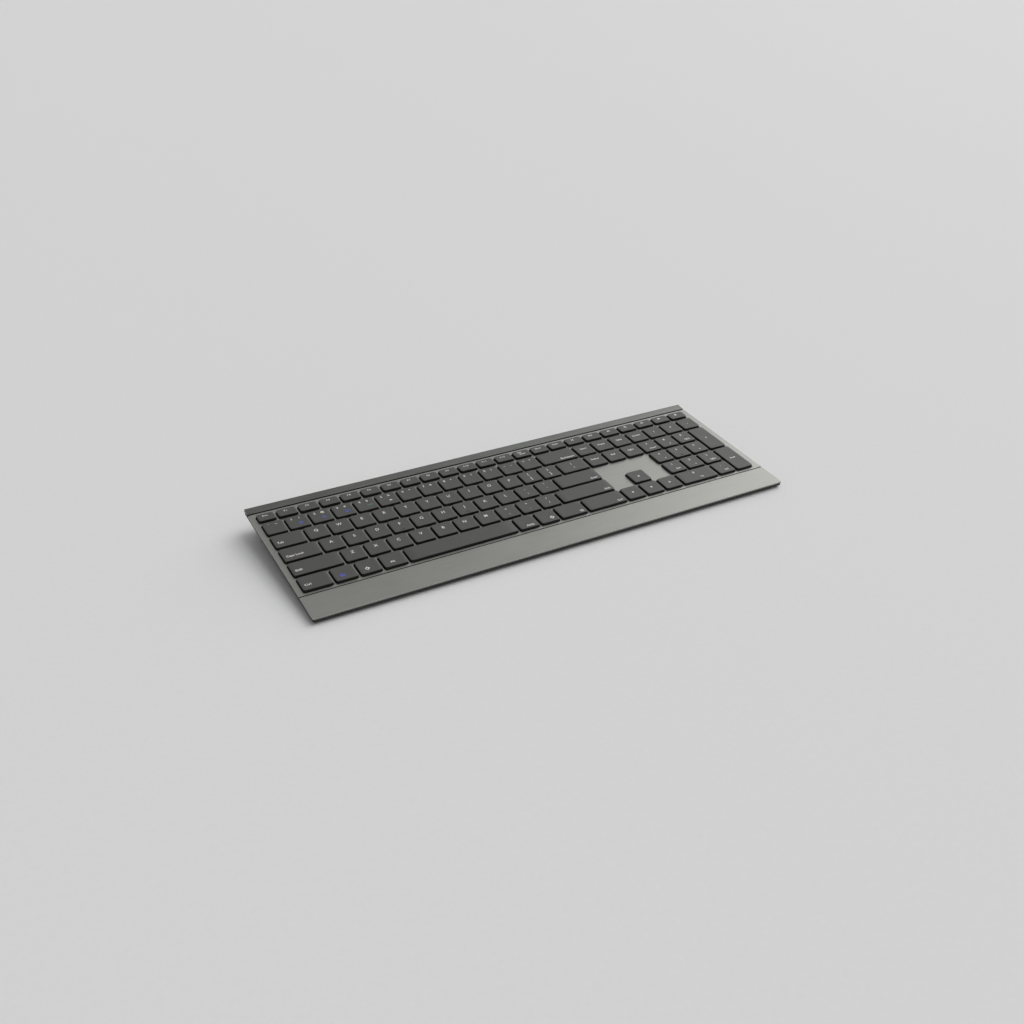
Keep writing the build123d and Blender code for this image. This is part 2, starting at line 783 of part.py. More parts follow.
def feet(y, top, height):
    """One pad near each end."""
    return group([foot(s * foot_from_middle, y, top, height) for s in (-1, 1)])


# ---------------------------------------------------------------- assembly
def build():
    """All nodes in the deck frame, by name."""
    long_keys = [key for key in all_keys if has_wire(*key.top)]
    nodes = {
        "top_cover": top_cover(),
        "rear_bar": rear_bar(),
        "bonding_tape": tape(),
        "bottom_cover": bottom_cover(),
        "rear_housing": rear_housing(),
        "battery_door": battery_door(),
        "switch_plate": switch_plate(),
        "membrane_lower": membrane_layer(0, False),
        "membrane_spacer": membrane_layer(1, True),
        "membrane_upper": membrane_layer(2, False),
        "membrane_tail": membrane_tail(),
        "rubber_domes": group([key.middle * dome(key.top[1]) for key in all_keys]),
        "scissor_outer_frames": group([key.middle * outer_frame(key.top[1]) for key in all_keys]),
        "scissor_inner_frames": group([key.middle * inner_frame(key.top[1]) for key in all_keys]),
        "stabiliser_wires": group([key.middle * stabiliser(*key.top) for key in long_keys]),
        "controller_board": controller_board(),
        "board_components": board_components(),
        "tail_clamp": tail_clamp(),
        "battery_cells": battery_cells(),
        "battery_spring": battery_spring(),
        "battery_contacts": battery_contacts(),
        "case_screws": case_screws(),
        "power_slider": power_slider(),
        "front_feet": feet(front_foot_y, tray_bottom, front_foot_height),
        "rear_feet": feet(rear_foot_y, housing_bottom, rear_foot_height),
    }
    for name, row in key_nodes.items():
        nodes[name] = group([key.middle * keycap(*key.top) for key in row])
    return nodes


def seat(nodes):
    """The placing that tilts the deck and stands the feet on z = 0, centred in x and y."""
    lean = Rot(X=tilt)
    box = group([lean * node for node in nodes.values()]).bounding_box()
    return Pos(0, -(box.min.Y + box.max.Y) / 2, -box.min.Z) * lean


if __name__ == "__main__":
    os.makedirs("parts", exist_ok=True)
    model = build()
    place = seat(model)
    for node_name, shape in model.items():
        export_step(place * shape, f"parts/{node_name}.step")
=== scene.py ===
import json
import logging
import math
from collections.abc import Callable, Sequence
from dataclasses import dataclass, field
from enum import Enum
from typing import Any

import bmesh
import bpy
import numpy as np
from mathutils import Matrix, Vector
from mathutils.geometry import tessellate_polygon


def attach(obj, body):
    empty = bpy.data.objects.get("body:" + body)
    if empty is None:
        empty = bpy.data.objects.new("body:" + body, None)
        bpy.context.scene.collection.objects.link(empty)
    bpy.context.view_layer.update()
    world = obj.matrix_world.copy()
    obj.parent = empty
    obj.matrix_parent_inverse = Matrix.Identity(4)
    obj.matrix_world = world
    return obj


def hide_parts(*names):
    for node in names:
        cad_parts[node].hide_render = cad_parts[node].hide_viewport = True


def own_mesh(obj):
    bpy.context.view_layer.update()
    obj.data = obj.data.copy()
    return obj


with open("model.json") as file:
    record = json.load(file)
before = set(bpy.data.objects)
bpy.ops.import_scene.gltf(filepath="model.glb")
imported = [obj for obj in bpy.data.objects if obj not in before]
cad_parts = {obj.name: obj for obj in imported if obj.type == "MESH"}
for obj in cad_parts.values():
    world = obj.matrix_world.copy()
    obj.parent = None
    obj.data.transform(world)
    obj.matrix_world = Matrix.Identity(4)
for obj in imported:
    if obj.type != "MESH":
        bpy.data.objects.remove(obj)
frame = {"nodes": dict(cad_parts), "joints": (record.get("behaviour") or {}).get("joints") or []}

MM = 0.001
# Corners closer than this are one corner, in metres.
SAME = 1e-7
# Smallest radius of a corner, in metres.
LEAST = 0.01 * MM
log = logging.getLogger("keyboard")
Point = tuple[float, float]
Triple = tuple[float, float, float]
Face = tuple[int, ...]
Mesh = bpy.types.Mesh
Object = bpy.types.Object


# ------------------------------------------------------------------ node helpers
def linear(colour: str) -> tuple[float, float, float, float]:
    """Turns an sRGB hex colour into linear RGBA.

    Args:
        colour: Six hex digits after a hash sign.

    Returns:
        The linear colour with full alpha.
    """
    parts = [int(colour[i : i + 2], 16) / 255 for i in (1, 3, 5)]
    # The standard's curve: straight near black, a power above.
    red, green, blue = (p / 12.92 if p <= 0.04045 else ((p + 0.055) / 1.055) ** 2.4 for p in parts)
    return red, green, blue, 1.0


def add(tree: Any, kind: str, values: dict[Any, Any] | None = None) -> Any:
    """Adds a node to a tree, with its settings and incoming links.

    Args:
        tree: Node tree that gets the node.
        kind: Node type name.
        values: What its properties and inputs get, by name or number. A socket is linked, and so is
            the first output of a node. Anything else is a fixed value.

    Returns:
        The new node.
    """
    node = tree.nodes.new(kind)
    values = values or {}
    own = [name for name in values if isinstance(name, str) and hasattr(node, name)]
    for name in own:
        setattr(node, name, values[name])
    for name in (name for name in values if name not in own):
        value = values[name]
        if isinstance(value, bpy.types.Node):
            value = value.outputs[0]
        if isinstance(value, bpy.types.NodeSocket):
            tree.links.new(value, node.inputs[name])
        else:
            node.inputs[name].default_value = value
    return node


# ------------------------------------------------------------------ finishes
@dataclass(frozen=True)
class Finish:
    """What every finish has: a name, a colour range and how rough it is.

    Attributes:
        name: Name of the material.
        dark: Darker colour of the pattern, as sRGB hex.
        light: Lighter colour of the pattern, as sRGB hex.
        rough: Lowest and highest roughness.
        grain: Size of the pattern in millimetres.
        bump: Height of the pattern in millimetres.
        metallic: 1 for bare or anodised metal.
        streak: Length of the pattern along x in millimetres, or 0 where it has no direction.
        settings: Other values of the shader, the same all over.
    """

    name: str
    dark: str
    light: str
    rough: Point
    grain: float
    bump: float = 0.0
    metallic: float = 0.0
    streak: float = 0.0
    settings: dict[str, Any] = field(default_factory=dict)

    def pattern(self, tree: Any, place: Any) -> Any:
        """Builds the pattern that mixes the two colours.

        Args:
            tree: The material's node tree.
            place: Socket with object coordinates in metres.

        Returns:
            A socket that runs from 0 to 1.
        """
        scale = [1 / (size * MM) for size in (self.streak or self.grain, self.grain, self.grain)]
        scaled = add(tree, "ShaderNodeMapping", {"Vector": place, "Scale": scale})
        noise = add(tree, "ShaderNodeTexNoise", {"Vector": scaled, "Scale": 1.0, "Detail": 3.0})
        spread = {"Value": noise.outputs["Fac"], "From Min": 0.3, "From Max": 0.7}
        return add(tree, "ShaderNodeMapRange", spread).outputs[0]

    def material(self) -> bpy.types.Material:
        """Builds the material, once.

        Returns:
            The material of this finish.
        """
        if self.name in bpy.data.materials:
            return bpy.data.materials[self.name]
        made = bpy.data.materials.new(self.name)
        made.use_nodes = True
        tree = made.node_tree
        shader = tree.nodes["Principled BSDF"]
        for name, value in {"Metallic": self.metallic, **self.settings}.items():
            shader.inputs[name].default_value = value
        pattern = self.pattern(tree, add(tree, "ShaderNodeTexCoord").outputs["Object"])
        # Inputs 6 and 7 and output 2 are the mix's colours, as 2, 3 and 0 are its plain values.
        tones = {"data_type": "RGBA", 0: pattern, 6: linear(self.dark), 7: linear(self.light)}
        tree.links.new(add(tree, "ShaderNodeMix", tones).outputs[2], shader.inputs["Base Color"])
        rough = {"Value": pattern, "To Min": self.rough[0], "To Max": self.rough[1]}
        tree.links.new(add(tree, "ShaderNodeMapRange", rough).outputs[0], shader.inputs["Roughness"])
        if self.bump:
            relief = {"Height": pattern, "Strength": 0.5, "Distance": self.bump * MM}
            tree.links.new(add(tree, "ShaderNodeBump", relief).outputs[0], shader.inputs["Normal"])
        return made


@dataclass(frozen=True)
class Brushed(Finish):
    """Metal with fine streaks along the rows, over a slow drift of tone.

    Attributes:
        drift: Length over which the tone drifts, in millimetres.
        mix: Share of the drift in the pattern.
    """

    drift: float = 60.0
    mix: float = 0.3

    def pattern(self, tree: Any, place: Any) -> Any:
        """Builds long streaks with a slow drift, as a socket that runs from 0 to 1."""
        slow = add(tree, "ShaderNodeTexNoise", {"Vector": place, "Scale": 1 / self.drift / MM, "Detail": 1.0})
        return add(tree, "ShaderNodeMix", {0: self.mix, 2: super().pattern(tree, place), 3: slow}).outputs[0]


@dataclass(frozen=True)
class Traced(Finish):
    """A printed circuit or film: straight conductors in rows under a clear coat.

    Attributes:
        conductor: Width of a conductor over the distance of the rows.
    """

    conductor: float = 1 / 6

    def pattern(self, tree: Any, place: Any) -> Any:
        """Builds conductors as the joints of long bricks.

        Args:
            tree: The material's node tree.
            place: Socket with object coordinates in metres.

        Returns:
            A socket that is 1 on a conductor.
        """
        bricks = {
            "Vector": place,
            "Scale": 1 / MM,
            "Brick Width": self.streak,
            "Row Height": self.grain,
            "Mortar Size": self.grain * self.conductor,
            "Color1": (0, 0, 0, 1),
            "Color2": (0.1, 0.1, 0.1, 1),
            "Mortar": (1, 1, 1, 1),
        }
        return add(tree, "ShaderNodeTexBrick", bricks).outputs["Color"]


# Grey anodised aluminium, sanded lengthwise before the bath: satin, with streaks along the rows.
# The real streaks are about 0.1 mm wide and are drawn coarser, so that they show from arm's length.
DECK_METAL = Brushed("anodised_aluminium_grey", "#787874", "#8c8c88", (0.34, 0.46), 0.22, 0.003, 1.0, 26.0)
# The same metal in a darker bath, with a tighter brush.
BAR_METAL = Brushed("anodised_aluminium_dark", "#4c4d4a", "#636461", (0.32, 0.44), 0.45, 0.004, 1.0, 22.0)
# Chamfers: lighter, smoother metal than the sheet, a painted highlight that makes each chamfer show as a fine
# bright line.
CHAMFER_HIGHLIGHT = Finish("aluminium_cut_edge", "#92928f", "#b2b2ae", (0.22, 0.32), 0.3, 0.002, 1.0)
# The groove's floor, its walls and chamfers, and the edges at the joint: the same metal, dull and near black,
# as painted shade, so that the groove and the joint read as dark lines.
GROOVE_SHADE = Finish("aluminium_painted_dark", "#242423", "#2e2e2c", (0.6, 0.7), 0.5, 0.004)
# Key tops: ABS under a matt grey coat with a faint grit, which dulls every highlight.
KEY_PLASTIC = Finish("abs_key_matt_coat", "#383835", "#41413e", (0.50, 0.60), 0.35, 0.006)
# Key sides: near-black painted shade on the skirts and the lowest step of the top edge, darker than the keys'
# own grey coat.
KEY_SIDE_SHADE = Finish("abs_key_black", "#0f0f0f", "#171716", (0.42, 0.52), 0.4, 0.004)
# Tray, housing and door: black ABS from a spark-eroded mould, even and slightly coarse.
CASE_PLASTIC = Finish("abs_black_textured", "#191919", "#262625", (0.50, 0.66), 0.5, 0.015)
# Legends: pad-printed ink, a little uneven at its edges.
WHITE_INK = Finish("pad_print_white", "#e2e2de", "#f2f2ee", (0.45, 0.55), 0.3)
BLUE_INK = Finish("pad_print_blue", "#4356e6", "#5a70f4", (0.45, 0.55), 0.3)
GREEN_INK = Finish("pad_print_green", "#4c8468", "#5c9478", (0.45, 0.55), 0.3)
# Scissor frames: black acetal, smooth and waxy.
ACETAL = Finish("acetal_black", "#111111", "#1c1c1b", (0.32, 0.42), 1.0, 0.004)
# Slider: light grey acetal, so that the switch can be found on the black housing.
KNOB_PLASTIC = Finish("acetal_light_grey", "#a6a6a2", "#b6b6b2", (0.36, 0.46), 1.0, 0.004)
# Domes: milky silicone that lets light in, to a depth of about 2 mm.
MILKY = {"Subsurface Weight": 0.25, "Subsurface Radius": (0.002, 0.002, 0.0018), "Subsurface Scale": 1.0}
SILICONE = Finish("silicone_milky", "#c4c4bd", "#dcdcd5", (0.42, 0.55), 0.8, 0.005, settings=MILKY)
# Feet: matt black rubber with a fine grit.
RUBBER = Finish("rubber_black", "#151515", "#232322", (0.72, 0.86), 0.3, 0.012)
# Switch plate: rolled galvanised sheet with a faint spangle.
GALVANISED = Finish("steel_galvanised", "#8f9295", "#b4b7ba", (0.30, 0.48), 6.0, 0.002, 1.0)
# Wires and springs: drawn, bright.
SPRING_STEEL = Finish("steel_drawn", "#a9abad", "#c6c8ca", (0.22, 0.34), 0.2, 0.001, 1.0, 3.0)
# Case screws: black zinc over steel.
SCREW_STEEL = Finish("steel_black_zinc", "#3c3d3f", "#56585a", (0.30, 0.45), 0.6, 0.003, 1.0)
# Battery contacts: bright nickel plate, slightly clouded.
NICKEL = Finish("nickel_plate", "#b3aea2", "#cfcabf", (0.20, 0.34), 2.5, 0.001, 1.0)
# Membrane films: polyester. The upper one is near black, as painted shade in the key wells; the others are
# clear-grey.
FILM_WELL_SHADE = Finish("polyester_black_print", "#0d0d0d", "#161616", (0.38, 0.50), 4.0)
FILM_TRACED = Traced("polyester_silver_print", "#7d8280", "#b9bcb8", (0.30, 0.42), 4.8, streak=38.0)
# Board: glass laminate under green solder mask, with its tracks just visible.
SOLDER_MASK = Traced("laminate_green_mask", "#0c4526", "#1d6a3c", (0.24, 0.34), 1.1, streak=7.0)
# Chips: moulded black epoxy.
EPOXY = Finish("epoxy_moulded", "#171717", "#212122", (0.45, 0.58), 0.2, 0.004)
# Clamp: natural nylon.
NYLON = Finish("nylon_natural", "#cbc7b6", "#dcd8c8", (0.38, 0.50), 1.2, 0.004)
# Cells: a printed film sleeve, shrunk on tight.
SLEEVE = Finish("pvc_sleeve", "#2b3742", "#34424f", (0.16, 0.26), 9.0, settings={"Coat Weight": 0.4})
# Tape: closed-cell acrylic foam, dull black.
FOAM_TAPE = Finish("acrylic_foam_black", "#121212", "#1e1e1e", (0.70, 0.85), 0.25, 0.01)
# Floor: matt pale paper.
PAPER = Finish("paper_pale", "#e7e7e7", "#e9e9e9", (0.85, 0.92), 4.0)

# Finishes of the CAD nodes that stay.
KEPT: dict[str, Finish] = {
    node: finish
    for finish, nodes in (
        (FOAM_TAPE, "bonding_tape"),
        (CASE_PLASTIC, "bottom_cover rear_housing battery_door"),
        (GALVANISED, "switch_plate"),
        (FILM_TRACED, "membrane_lower membrane_spacer membrane_tail"),
        # membrane_upper carries painted shade for the key wells.
        (FILM_WELL_SHADE, "membrane_upper"),
        (SOLDER_MASK, "controller_board"),
        (EPOXY, "board_components"),
        (NYLON, "tail_clamp"),
        (SLEEVE, "battery_cells"),
        (SPRING_STEEL, "battery_spring"),
        (NICKEL, "battery_contacts"),
        (SCREW_STEEL, "case_screws"),
        (KNOB_PLASTIC, "power_slider"),
        (RUBBER, "front_feet rear_feet"),
    )
    for node in nodes.split()
}


# ------------------------------------------------------------------ the deck's own axes
@dataclass(frozen=True)
class Span:
    """A box in the deck's own axes.

    Attributes:
        low: Lowest corner.
        high: Highest corner.
    """

    low: Vector
    high: Vector

    @property
    def middle(self) -> Vector:
        """Centre of the box."""
        return (self.low + self.high) / 2

    @property
    def size(self) -> Vector:
        """Extents of the box."""
        return self.high - self.low

    @classmethod
    def around(cls, points: np.ndarray) -> "Span":
        """Box around some points, one per row."""
        return cls(Vector(points.min(0)), Vector(points.max(0)))

    def holds(self, points: np.ndarray) -> np.ndarray:
        """Picks the points, one per row, that lie over or under this box."""
        inside = (points[:, :2] >= self.low[:2]) & (points[:, :2] <= self.high[:2])
        return points[inside.all(1)]


@dataclass(frozen=True)
class Deck:
    """The leaning plane that the whole keyboard is laid out on.

    In its own axes x runs along the rows, y away from the typist and z out of the deck's top
    face. All are in metres.

    Attributes:
        lean: Angle of the deck over the table, in radians.
        origin: Middle of the deck's front edge.
    """

    lean: float
    origin: Vector

    @classmethod
    def found(cls) -> "Deck":
        """Reads the lean from a key's travel and the front edge from the metal sheet.

        Returns:
            The deck.
        """
        press = next(joint for joint in frame["joints"] if joint["name"].endswith("_press"))
        lean = math.atan2(press["axis"][1], -press["axis"][2])
        level = Matrix.Rotation(-lean, 4, "X")
        points = np.array([level @ vertex.co for vertex in frame["nodes"]["top_cover"].data.vertices])
        front = Vector((0.0, points[:, 1].min(), points[:, 2].max()))
        return cls(lean, level.inverted() @ front)

    @property
    def matrix(self) -> Matrix:
        """Turns the deck's own coordinates into the frame's."""
        return Matrix.Translation(self.origin) @ Matrix.Rotation(self.lean, 4, "X")

    def points(self, node: str) -> np.ndarray:
        """Gives a CAD node's corners in the deck's own coordinates.

        Args:
            node: Name of the CAD node.

        Returns:
            One row of x, y and z per corner.
        """
        mesh = frame["nodes"][node].data
        flat = np.empty(len(mesh.vertices) * 3, np.float32)
        mesh.vertices.foreach_get("co", flat)
        back = np.array(self.matrix.inverted())
        return flat.reshape(-1, 3) @ back[:3, :3].T + back[:3, 3]

    def box(self, node: str) -> Span:
        """Box around a CAD node."""
        return Span.around(self.points(node))

    def solids(self, node: str) -> list[Span]:
        """Finds the separate solids of a CAD node.

        Args:
            node: Name of the CAD node.

        Returns:
            Their boxes, from the rear row to the front one and from left to right.
        """
        work = bmesh.new()
        work.from_mesh(frame["nodes"][node].data)
        bmesh.ops.remove_doubles(work, verts=work.verts, dist=10 * SAME)
        work.transform(self.matrix.inverted())
        left = set(work.verts)
        spans = []
        while left:
            stack, found = [left.pop()], []
            while stack:
                vertex = stack.pop()
                found.append(tuple(vertex.co))
                others = {edge.other_vert(vertex) for edge in vertex.link_edges} & left
                left -= others
                stack += others
            spans.append(Span.around(np.array(found)))
        work.free()
        return sorted(spans, key=lambda span: (-round(span.middle.y, 3), span.middle.x))


# ------------------------------------------------------------------ mesh helpers
def placed(name: str, data: Any) -> Object:
    """Puts an object into the scene, at the origin.

    Args:
        name: Name of the object.
        data: Its mesh, text, lamp or camera.

    Returns:
        The object.
    """
    made = bpy.data.objects.new(name, data)
    bpy.context.scene.collection.objects.link(made)
    return made


def flattened(carrier: Object) -> Mesh:
    """Turns a text or a modified object into a plain mesh.

    Args:
        carrier: The object. It is used up.

    Returns:
        The plain mesh.
    """
    depsgraph = bpy.context.evaluated_depsgraph_get()
    mesh = bpy.data.meshes.new_from_object(carrier.evaluated_get(depsgraph), depsgraph=depsgraph)
    bpy.data.objects.remove(carrier)
    return mesh


def mesh_from(
    name: str, points: list[Triple], faces: list[Face], slots: Sequence[int] = (), merge: bool = True
) -> Mesh:
    """Makes a closed mesh whose faces point outwards.

    Args:
        name: Name of the mesh.
        points: Its corners.
        faces: Its faces, as corner numbers.
        slots: Number of each face's finish, where there are several.
        merge: Whether corners at one place become one.

    Returns:
        The mesh.
    """
    mesh = bpy.data.meshes.new(name)
    mesh.from_pydata(points, [], faces)
    if slots:
        mesh.polygons.foreach_set("material_index", slots)
    work = bmesh.new()
    work.from_mesh(mesh)
    if merge:
        bmesh.ops.remove_doubles(work, verts=work.verts, dist=SAME)
    bmesh.ops.recalc_face_normals(work, faces=work.faces)
    work.to_mesh(mesh)
    work.free()
    return mesh


def joined(name: str, meshes: Sequence[Mesh]) -> Mesh:
    """Puts several meshes into one.

    Args:
        name: Name of the result.
        meshes: What goes in. They are used up.

    Returns:
        The one mesh.
    """
    work = bmesh.new()
    for mesh in meshes:
        work.from_mesh(mesh)
        bpy.data.meshes.remove(mesh)
    whole = bpy.data.meshes.new(name)
    work.to_mesh(whole)
    work.free()
    return whole


def band(low: int, high: int, count: int) -> list[Face]:
    """Faces between two rings of as many points, from the numbers of their first points."""
    return [(low + i, low + (i + 1) % count, high + (i + 1) % count, high + i) for i in range(count)]


@dataclass
class Contour:
    """One closed edge of a sheet: a rectangle with rounded corners, as its outline or a hole.

    Attributes:
        span: Lowest x, highest x, lowest y and highest y.
        radii: Radius of the two front corners and of the two rear ones.
        chamfer: Width of the chamfer at the top face.
        hole: Whether it bounds a hole.
        slot: Number of its chamfer's finish on the piece.
        steps: Divisions of a corner.
    """

    span: tuple[float, float, float, float]
    radii: Point
    chamfer: float
    hole: bool = False
    slot: int = 0
    steps: int = 5

    def ring(self, grow: float = 0.0) -> list[Point]:
        """Draws the edge.

        Args:
            grow: How far it is pushed outwards.

        Returns:
            Its points, anticlockwise.
        """
        x0, x1, y0, y1 = self.span
        front, rear = self.radii
        points = []
        for x, y, start, radius in (
            (x0, y0, 180, front), (x1, y0, 270, front), (x1, y1, 0, rear), (x0, y1, 90, rear)
        ):
            inner_x = x + math.copysign(radius, (x0 + x1) / 2 - x)
            inner_y = y + math.copysign(radius, (y0 + y1) / 2 - y)
            reach = max(radius + grow, LEAST)
            for step in range(self.steps + 1):
                angle = math.radians(start + 90 * step / self.steps)
                points.append((inner_x + reach * math.cos(angle), inner_y + reach * math.sin(angle)))
        return points


def sheet(
    name: str,
    contours: Sequence[Contour],
    bottom: float,
    top: float,
    rise: Callable[[float], float] = lambda y: 0.0,
) -> Mesh:
    """Builds a sheet with chamfered edges and holes.

    Args:
        name: Name of the mesh.
        contours: The outline first, then the holes.
        bottom: Level of the underside.
        top: Level of the upper face.
        rise: How much higher the upper face is, from a place across the rows.

    Returns:
        The closed mesh.
    """
    points: list[Triple] = []
    faces: list[Face] = []
    full = [contour.ring() for contour in contours]
    upper = [contour.ring(contour.chamfer * (1 if contour.hole else -1)) for contour in contours]
    for rings, is_top in ((upper, True), (full, False)):
        in_mm = [[Vector((x, y, 0.0)) / MM for x, y in ring] for ring in rings]
        faces += [tuple(len(points) + i for i in face) for face in tessellate_polygon(in_mm)]
        points += [(x, y, top + rise(y) if is_top else bottom) for ring in rings for x, y in ring]
    slots = [0] * len(faces)
    for contour, high, low in zip(contours, upper, full):
        start, count = len(points), len(high)
        points += [(x, y, top + rise(y)) for x, y in high]
        points += [(x, y, top + rise(y) - contour.chamfer) for x, y in low]
        points += [(x, y, bottom) for x, y in low]
        faces += band(start, start + count, count) + band(start + count, start + 2 * count, count)
        slots += [contour.slot] * count + [0] * count
    return mesh_from(name, points, faces, slots)


# ------------------------------------------------------------------ geometry nodes
def started(name: str, **inputs: str) -> tuple[Any, Any]:
    """Starts a Geometry Nodes tree with named inputs.

    Args:
        name: Name of the tree.
        **inputs: Socket types of the inputs after the geometry.

    Returns:
        The tree and its group input node.
    """
    tree = bpy.data.node_groups.new(name, "GeometryNodeTree")
    for label, kind in {"Geometry": "Geometry", **inputs}.items():
        tree.interface.new_socket(label, in_out="INPUT", socket_type=f"NodeSocket{kind}")
    tree.interface.new_socket("Geometry", in_out="OUTPUT", socket_type="NodeSocketGeometry")
    return tree, add(tree, "NodeGroupInput")


def ended(tree: Any, geometry: Any, material: Any, where: Any = True) -> Any:
    """Ends a tree in Realize Instances and Set Material.

    Args:
        tree: The tree.
        geometry: Node that made the geometry.
        material: Socket with its material.
        where: Node that picks the faces that get it, or True for all.

    Returns:
        The tree.
    """
    real = add(tree, "GeometryNodeRealizeInstances", {"Geometry": geometry})
    dressing = {"Geometry": real, "Selection": where, "Material": material}
    add(tree, "NodeGroupOutput", {0: add(tree, "GeometryNodeSetMaterial", dressing)})
    return tree


def grown(tree: Any, host: Mesh, values: dict[str, Any]) -> Mesh:
    """Runs a tree on a mesh and keeps the result as a plain mesh.

    Args:
        tree: The tree.
        host: Mesh that goes in. It is used up.
        values: Values of the named inputs.

    Returns:
        The plain mesh.
    """
    carrier = placed(tree.name, host)
    modifier = carrier.modifiers.new(tree.name, "NODES")
    modifier.node_group = tree
    for socket in tree.interface.items_tree:
        if socket.in_out == "INPUT" and socket.name in values:
            modifier[socket.identifier] = values[socket.name]
    mesh = flattened(carrier)
    bpy.data.meshes.remove(host)
    return mesh


def scattered(
    tree: Any, pattern: Mesh, places: Sequence[Vector], sizes: Sequence[Vector], values: dict[str, Any]
) -> Mesh:
    """Runs a tree on points that carry a size each.

    Args:
        tree: The tree.
        pattern: Mesh that the tree copies to every point.
        places: Where the points are.
        sizes: The size at each point.
        values: Values of the other named inputs.

    Returns:
        The plain mesh.
    """
    host = bpy.data.meshes.new("points")
    host.from_pydata([tuple(place) for place in places], [], [])
    sized = host.attributes.new("size", "FLOAT_VECTOR", "POINT")
    sized.data.foreach_set("vector", [value for size in sizes for value in size])
    copied = placed("pattern", pattern)
    mesh = grown(tree, host, {"Pattern": copied, **values})
    bpy.data.objects.remove(copied)
    return mesh


def scatter_tree() -> Any:
    """Puts a pattern at every point, stretched to the point's size.

    Returns:
        The tree.
    """
    tree, given = started("placed_parts", Pattern="Object", Finish="Material")
    pattern = add(tree, "GeometryNodeObjectInfo", {"Object": given.outputs["Pattern"]})
    size = add(tree, "GeometryNodeInputNamedAttribute", {"data_type": "FLOAT_VECTOR", "Name": "size"})
    copies = {"Points": given, "Instance": pattern.outputs["Geometry"], "Scale": size}
    return ended(tree, add(tree, "GeometryNodeInstanceOnPoints", copies), given.outputs["Finish"])


def cap_tree() -> Any:
    """Puts a corner pattern at every key and pulls its corners out to the key's size.

    Returns:
        The tree.
    """
    tree, given = started("key_caps", Pattern="Object", Skirt="Material", Coat="Material")
    pattern = add(tree, "GeometryNodeObjectInfo", {"Object": given.outputs["Pattern"]})
    copies = {"Points": given, "Instance": pattern.outputs["Geometry"]}
    copied = add(tree, "GeometryNodeInstanceOnPoints", copies)
    real = add(tree, "GeometryNodeRealizeInstances", {"Geometry": copied})
    size, reach, coated = (
        add(tree, "GeometryNodeInputNamedAttribute", {"data_type": kind, "Name": name})
        for name, kind in (("size", "FLOAT_VECTOR"), ("reach", "FLOAT_VECTOR"), ("coated", "BOOLEAN"))
    )
    pull = add(tree, "ShaderNodeVectorMath", {"operation": "MULTIPLY", 0: size, 1: reach})
    pulled = add(tree, "GeometryNodeSetPosition", {"Geometry": real, "Offset": pull})
    # Faces outside the marked top get the painted shade of the key sides; the marked top gets the coat.
    sides_shaded = add(tree, "GeometryNodeSetMaterial", {"Geometry": pulled, "Material": given.outputs["Skirt"]})
    return ended(tree, sides_shaded, given.outputs["Coat"], coated)


def wire_tree() -> Any:
    """Turns a path into a round wire with bent corners.

    Returns:
        The tree.
    """
    tree, given = started("bent_wire", Radius="Float", Bend="Float", Finish="Material")
    path = add(tree, "GeometryNodeMeshToCurve", {"Mesh": given})
    bends = {"mode": "POLY", "Curve": path, "Count": 4, "Radius": given.outputs["Bend"]}
    ring = {"Resolution": 10, "Radius": given.outputs["Radius"]}
    sweep = {
        "Curve": add(tree, "GeometryNodeFilletCurve", bends),
        "Profile Curve": add(tree, "GeometryNodeCurvePrimitiveCircle", ring),
        "Fill Caps": True,
    }
    return ended(tree, add(tree, "GeometryNodeCurveToMesh", sweep), given.outputs["Finish"])


# ------------------------------------------------------------------ sub-assemblies
@dataclass
class SubAssembly:
    """What every sub-assembly has: the deck that it is laid out on, and its finished pieces.

    Attributes:
        deck: The deck.
        pieces: Its pieces so far.
        smooth: Steepest angle between two faces that are shaded as one, in degrees.
    """

    deck: Deck
    pieces: list[Object] = field(default_factory=list, init=False)
    smooth: float = field(default=32.0, init=False)

    def piece(
        self, name: str, mesh: Mesh, finishes: Sequence[Finish], body: str, slot: str, node: str = ""
    ) -> Object:
        """Finishes a piece and lets it ride on a body.

        Args:
            name: Name of the piece.
            mesh: Its mesh, in the deck's own axes.
            finishes: Its finishes, or none where the mesh has its materials already.
            body: CAD body that carries it.
            slot: Material slot of the record; not used.
            node: CAD node that it replaces, or nothing.

        Returns:
            The object.
        """
        for finish in finishes:
            mesh.materials.append(finish.material())
        mesh.transform(self.deck.matrix)
        mesh.polygons.foreach_set("use_smooth", [True] * len(mesh.polygons))
        mesh.set_sharp_from_angle(angle=math.radians(self.smooth))
        made = placed(name, mesh)
        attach(made, body)
        if node:
            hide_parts(node)
        self.pieces.append(made)
        return made


